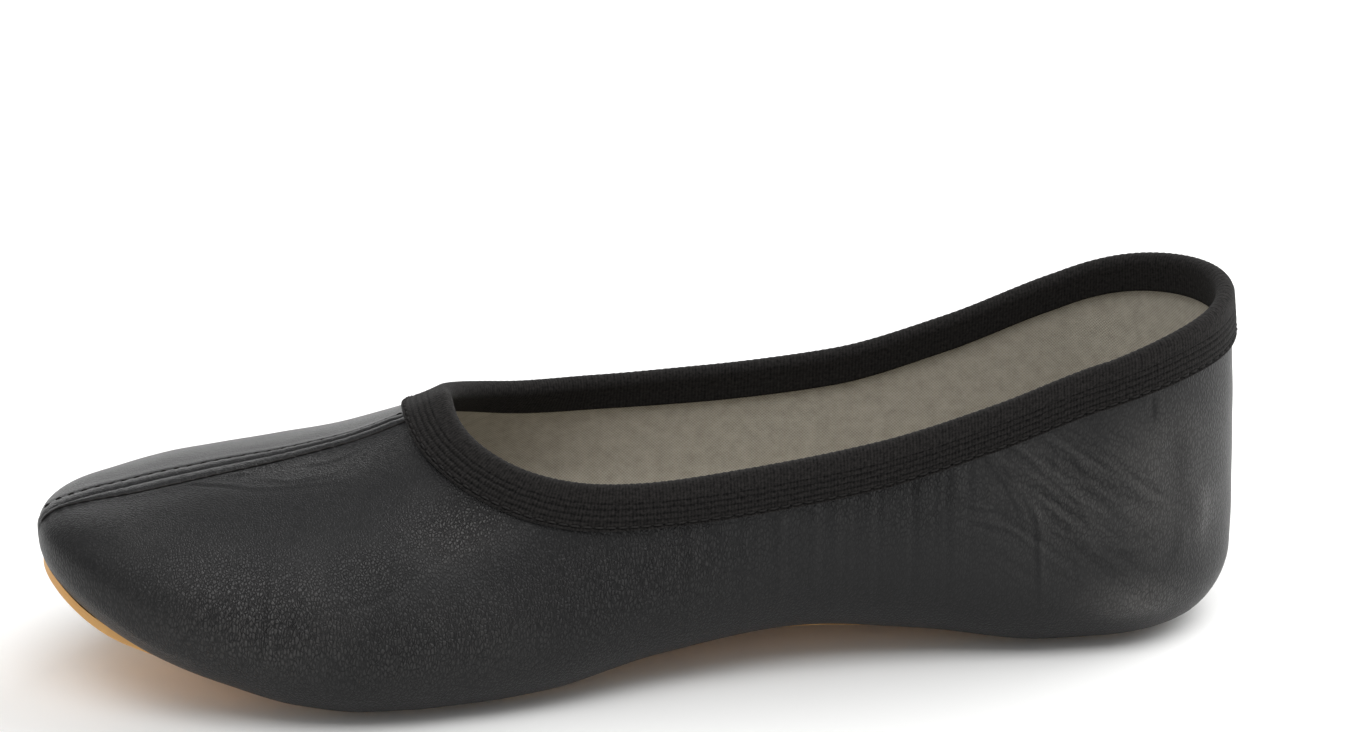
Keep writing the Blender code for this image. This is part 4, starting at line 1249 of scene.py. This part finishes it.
def stitch_row(places, normals, pitch, length, width):
    """Points and faces of stitches spaced along a line of surface points."""
    run = run_lengths(places[None])[0]

    def value(rows, distance):
        return np.array([np.interp(distance, run, rows[:, axis]) for axis in range(3)])

    count = int(run[-1] / pitch)
    stitches = []
    for k in range(count):
        middle = (k + 0.5) * run[-1] / count
        tangent = value(places, middle + length / 2) - value(places, middle - length / 2)
        tangent /= np.linalg.norm(tangent)
        normal = value(normals, middle)
        normal -= tangent * normal.dot(tangent)
        normal /= np.linalg.norm(normal)
        stitches.append(stitch_mesh(value(places, middle), tangent, normal, length, width))
    return join_meshes(stitches)


def surface_line(piece, points):
    """Nearest places of a piece's surface to points in millimetres, with the outward directions."""
    mesh = piece.data
    corners = [tuple(vertex.co) for vertex in mesh.vertices]
    tree = BVHTree.FromPolygons(corners, [tuple(face.vertices) for face in mesh.polygons])
    hits = [tree.find_nearest(Vector(point) * MM) for point in points]
    places = np.array([hit[0] for hit in hits]) / MM
    normals = np.array([hit[1] for hit in hits])
    return places, normals


def build_stitches(sizes, colours):
    """Thread: a row on each side of the centre seam, and one round the lower edge of the band."""
    upper = bpy.data.objects.get("upper_leather")
    if upper is None:
        raise RuntimeError("the leather upper has to be made before its stitches")
    thread = twisted_thread(colours)
    pitch = sizes.stitch_pitch / MM
    width = sizes.thread_width / MM
    line = seam_line()
    line = line[line[:, 2] > SEAM_STITCH_LOW]
    rows = []
    for row in SEAM_ROWS:
        aside = line.copy()
        aside[:, 1] += row.side * row.at * seam_spread(LENGTH / 2 - line[:, 0], row.side)
        rows.append(stitch_row(*surface_line(upper, aside), pitch, row.length, width))
    new_piece("seam_stitches", *join_meshes(rows), thread, "leather")
    base, directions = band_base(BAND_STEPS)
    out = np.array([BAND_GAP + BAND_THICKNESS - BAND_STITCH_SINK])
    line = on_band(base, directions, np.array([BAND_STITCH_SHARE]), out)[:, 0]
    line, facing = (np.concatenate((loop, loop[:1])) for loop in (line, directions[:, 0]))
    length = sizes.stitch_length / MM
    row = stitch_row(line, facing, pitch * BAND_STITCH_SCALE, length * BAND_STITCH_SCALE, width)
    new_piece("band_stitches", *row, thread, "elastic")


# Dense sole: columns along each side, and rows of its tread, bevel and brim
SOLE_STEPS = LeatherSteps(60, 48, 82, 40, 70, 64)
SOLE_ROWS = 52
BEVEL_ROWS = 5
BRIM_ROWS = 12
# The brim's least width, its distance below the leather, and the angle from which an edge stays sharp
BRIM_LEAST = 1.0
SOLE_SEAT = 0.06
SOLE_SHARP = 50.0
# Tread: how a groove's side rises with the distance from its middle, and how the tread starts inside the
# sole's edge
TREAD_GROOVE = (0.275, 0.825)
TREAD_BORDER = (3.5, 4.3)


def tread_relief(points, border, pitch, depth):
    """Rise of the tread's grooves, which cross in a fine lattice inside a plain border."""
    relief = np.zeros(points.shape[:-1])
    for lean in (1, -1):
        across = (points[..., 0] + lean * points[..., 1]) / math.sqrt(2)
        off = np.abs((across / pitch) % 1.0 - 0.5) * pitch
        relief = np.maximum(relief, 1 - smooth_step(off, *TREAD_GROOVE))
    return depth * relief * smooth_step(border, *TREAD_BORDER)


def build_outsole(sizes, colours):
    """Gum sole: a thin sheet with a lattice tread and a raised middle that fills the upper's opening."""
    station, side = loop_columns(side_stations(SOLE_STEPS), side_stations(SOLE_STEPS))
    reach = low_reach(station, side)
    edge = SOLE_INSET(station)
    step = EDGE_WIDTH + MARGIN_WIDTH + SOLE_STEP_CLEAR
    tread = -GAP - SOLE_THICKNESS
    insets = reach + (edge + SOLE_CHAMFER - reach) * np.linspace(0, 1, SOLE_ROWS)[None, :]
    under = low_point(station, side, insets, tread)
    under[:, :, 2] += tread_relief(under, insets - edge, sizes.tread_pitch / MM, sizes.tread_depth / MM)
    turn = np.linspace(0, np.pi / 2, BEVEL_ROWS)[None, 1:]
    bevel_inset = edge + SOLE_CHAMFER * (1 - np.sin(turn))
    brim = (np.maximum(step, edge + BRIM_LEAST) - edge) * np.linspace(0, 1, BRIM_ROWS)[None, 1:]
    stretches = [
        under,
        low_point(station, side, bevel_inset, tread + SOLE_CHAMFER * (1 - np.cos(turn))),
        low_point(station, side, edge, -SOLE_SEAT),
        low_point(station, side, edge + brim, -SOLE_SEAT),
    ]
    for inset in (step + GAP, (reach + step) / 2, reach):
        stretches.append(low_point(station, side, inset, WALL))
    points, numbers, _ = weld(np.concatenate(stretches, axis=1))
    gum = moulded_gum_rubber(colours)
    piece = new_piece("outsole_gum", points, face_list(grid_quads(numbers)), gum, "gum", "outsole")
    piece.data.set_sharp_from_angle(angle=math.radians(SOLE_SHARP))


# Insole: columns along each side, rows of its faces and of its rounded edge, and soft dents in its top
INSOLE_STEPS = LeatherSteps(30, 22, 38, 20, 36, 40)
INSOLE_ROWS = 24
INSOLE_ROUND_ROWS = 6
INSOLE_ROUND = 0.6 * INSOLE_THICKNESS
INSOLE_DENT = 0.2
INSOLE_DENT_PATCH = 18.0
INSOLE_DENT_RAMP = 6.0


def build_insole(sizes, colours):
    """Cotton-covered insole, rounded over at its edge."""
    station, side = loop_columns(side_stations(INSOLE_STEPS), side_stations(INSOLE_STEPS))
    reach = low_reach(station, side)
    low = WALL + GAP
    share = np.linspace(0, 1, INSOLE_ROWS)[None, :]
    under = low_point(station, side, reach + (INSOLE_INSET - reach) * share, low)
    turn = np.linspace(0, np.pi / 2, INSOLE_ROUND_ROWS)[None, 1:-1]
    round_inset = INSOLE_INSET + INSOLE_ROUND * (1 - np.cos(turn))
    brim = low_point(station, side, round_inset, low + INSOLE_THICKNESS * np.sin(turn))
    top_start = INSOLE_INSET + INSOLE_ROUND
    insets = top_start + (reach - top_start) * share
    top = low_point(station, side, insets, low + INSOLE_THICKNESS)
    dents = INSOLE_DENT * (0.5 + 0.5 * noise_field(top, INSOLE_DENT_PATCH))
    top[:, :, 2] -= dents * smooth_step(insets, top_start, top_start + INSOLE_DENT_RAMP)
    points, numbers, _ = weld(np.concatenate((under, brim, top), axis=1))
    cover = plain_woven_cotton("cotton_insole_cover", colours.insole, colours.cotton_dark, sizes)
    piece = new_piece("insole_cover", points, face_list(grid_quads(numbers)), cover, "cover", "insole")
    set_thread_map(piece, "weave", points[:, :2])


# Lamps: soft boxes round the shoe. Places and sizes are in metres, power in watts
Lamp = namedtuple("Lamp", "name place aim width height power")
LAMPS = (
    Lamp("front_box", (-0.2, -0.9, 1.9), (0.0, 0.0, 0.0), 2.0, 1.1, 22.0),
    Lamp("key_box", (1.5, 0.6, 1.2), (0.35, -0.1, 0.0), 2.4, 1.8, 48.0),
    Lamp("back_box", (-0.6, 2.8, 0.5), (0.0, 0.0, 0.03), 1.6, 0.8, 11.5),
)
FLOOR_SIZE = 30.0 / MM
FLOOR_STEPS = 6
SENSOR_WIDTH = 36.0
CLIP_START = 0.05
CLIP_END = 100.0


def place_looking(name, data, place, aim):
    """Put a lamp or the camera in the scene, looking at a point."""
    item = bpy.data.objects.new(name, data)
    item.location = place
    item.rotation_euler = (Vector(aim) - Vector(place)).to_track_quat("-Z", "Y").to_euler()
    bpy.context.scene.collection.objects.link(item)
    return item


def build_stage(stage):
    """Pale floor, soft lamps, even room light and the camera."""
    scene = bpy.context.scene
    lines = np.linspace(-FLOOR_SIZE / 2, FLOOR_SIZE / 2, FLOOR_STEPS + 1)
    points = [(x, y, 0.0) for y in lines for x in lines]
    row = FLOOR_STEPS + 1
    corners = [j * row + i for j in range(FLOOR_STEPS) for i in range(FLOOR_STEPS)]
    faces = [(c, c + 1, c + row + 1, c + row) for c in corners]
    new_object("floor", points, faces, matt_painted_board(stage))
    for lamp in LAMPS:
        data = bpy.data.lights.new(lamp.name, "AREA")
        data.shape = "RECTANGLE"
        data.size, data.size_y, data.energy = lamp.width, lamp.height, lamp.power
        place_looking(lamp.name, data, lamp.place, lamp.aim)
    scene.world = bpy.data.worlds.new("room")
    scene.world.use_nodes = True
    tree = scene.world.node_tree
    even = {"Color": (1.0, 1.0, 1.0, 1.0), "Strength": stage.room_light}
    set_inputs(tree, tree.nodes["Background"], even)
    scene.view_settings.view_transform = "Standard"
    data = bpy.data.cameras.new("camera")
    data.lens, data.sensor_width = stage.lens, SENSOR_WIDTH
    data.clip_start, data.clip_end = CLIP_START, CLIP_END
    a, e = stage.azimuth, stage.elevation
    back = Vector((math.sin(a) * math.cos(e), -math.cos(a) * math.cos(e), math.sin(e)))
    right = Vector((math.cos(a), math.sin(a), 0.0))
    aim = right * stage.aim_right + back.cross(right) * stage.aim_up
    scene.camera = place_looking("camera", data, back * stage.distance, aim)


class SHOE_OT_upper(bpy.types.Operator):
    """Make the leather shell with its creases, puckers and raised centre seam"""

    bl_idname = "shoe.upper"
    bl_label = "Leather upper"

    def execute(self, context):
        build_upper(context.scene.shoe_sizes, context.scene.shoe_colours)
        return {"FINISHED"}


class SHOE_OT_lining(bpy.types.Operator):
    """Make the cotton lining inside the leather"""

    bl_idname = "shoe.lining"
    bl_label = "Lining"

    def execute(self, context):
        build_lining(context.scene.shoe_sizes, context.scene.shoe_colours)
        return {"FINISHED"}


class SHOE_OT_collar(bpy.types.Operator):
    """Make the elastic band round the opening"""

    bl_idname = "shoe.collar"
    bl_label = "Elastic band"

    def execute(self, context):
        build_collar(context.scene.shoe_sizes, context.scene.shoe_colours)
        return {"FINISHED"}


class SHOE_OT_stitches(bpy.types.Operator):
    """Make the thread along the centre seam and round the band"""

    bl_idname = "shoe.stitches"
    bl_label = "Stitches"

    def execute(self, context):
        build_stitches(context.scene.shoe_sizes, context.scene.shoe_colours)
        return {"FINISHED"}


class SHOE_OT_outsole(bpy.types.Operator):
    """Make the gum sole with its tread"""

    bl_idname = "shoe.outsole"
    bl_label = "Gum sole"

    def execute(self, context):
        build_outsole(context.scene.shoe_sizes, context.scene.shoe_colours)
        return {"FINISHED"}


class SHOE_OT_insole(bpy.types.Operator):
    """Make the cotton-covered insole"""

    bl_idname = "shoe.insole"
    bl_label = "Insole"

    def execute(self, context):
        build_insole(context.scene.shoe_sizes, context.scene.shoe_colours)
        return {"FINISHED"}


class SHOE_OT_stage(bpy.types.Operator):
    """Make the floor, the lamps and the camera"""

    bl_idname = "shoe.stage"
    bl_label = "Stage"

    def execute(self, context):
        build_stage(context.scene.shoe_stage)
        return {"FINISHED"}


OPERATORS = (
    SHOE_OT_upper,
    SHOE_OT_lining,
    SHOE_OT_collar,
    SHOE_OT_stitches,
    SHOE_OT_outsole,
    SHOE_OT_insole,
    SHOE_OT_stage,
)


class VIEW3D_PT_shoe(bpy.types.Panel):
    """Sidebar panel with the shoe's pieces, sizes and colours"""

    bl_label = "Gymnastics shoe"
    bl_idname = "VIEW3D_PT_shoe"
    bl_space_type = "VIEW_3D"
    bl_region_type = "UI"
    bl_category = "Shoe"

    def draw(self, context):
        layout = self.layout
        for operator in OPERATORS:
            layout.operator(operator.bl_idname)
        for group in (context.scene.shoe_sizes, context.scene.shoe_colours, context.scene.shoe_stage):
            box = layout.box()
            for name in group.__annotations__:
                box.prop(group, name)


GROUPS = {"shoe_sizes": ShoeSizes, "shoe_colours": ShoeColours, "shoe_stage": StageSettings}


def register():
    """Register the classes and give the scene its settings."""
    for name, group in GROUPS.items():
        bpy.utils.register_class(group)
        setattr(bpy.types.Scene, name, bpy.props.PointerProperty(type=group))
    for operator in OPERATORS:
        bpy.utils.register_class(operator)
    bpy.utils.register_class(VIEW3D_PT_shoe)


def unregister():
    """Take the classes and the scene's settings away again."""
    bpy.utils.unregister_class(VIEW3D_PT_shoe)
    for operator in reversed(OPERATORS):
        bpy.utils.unregister_class(operator)
    for name, group in GROUPS.items():
        delattr(bpy.types.Scene, name)
        bpy.utils.unregister_class(group)


def main():
    """Make every piece and the stage."""
    register()
    bpy.ops.shoe.upper()
    bpy.ops.shoe.lining()
    bpy.ops.shoe.collar()
    bpy.ops.shoe.stitches()
    bpy.ops.shoe.outsole()
    bpy.ops.shoe.insole()
    bpy.ops.shoe.stage()


if __name__ == "__main__":
    main()
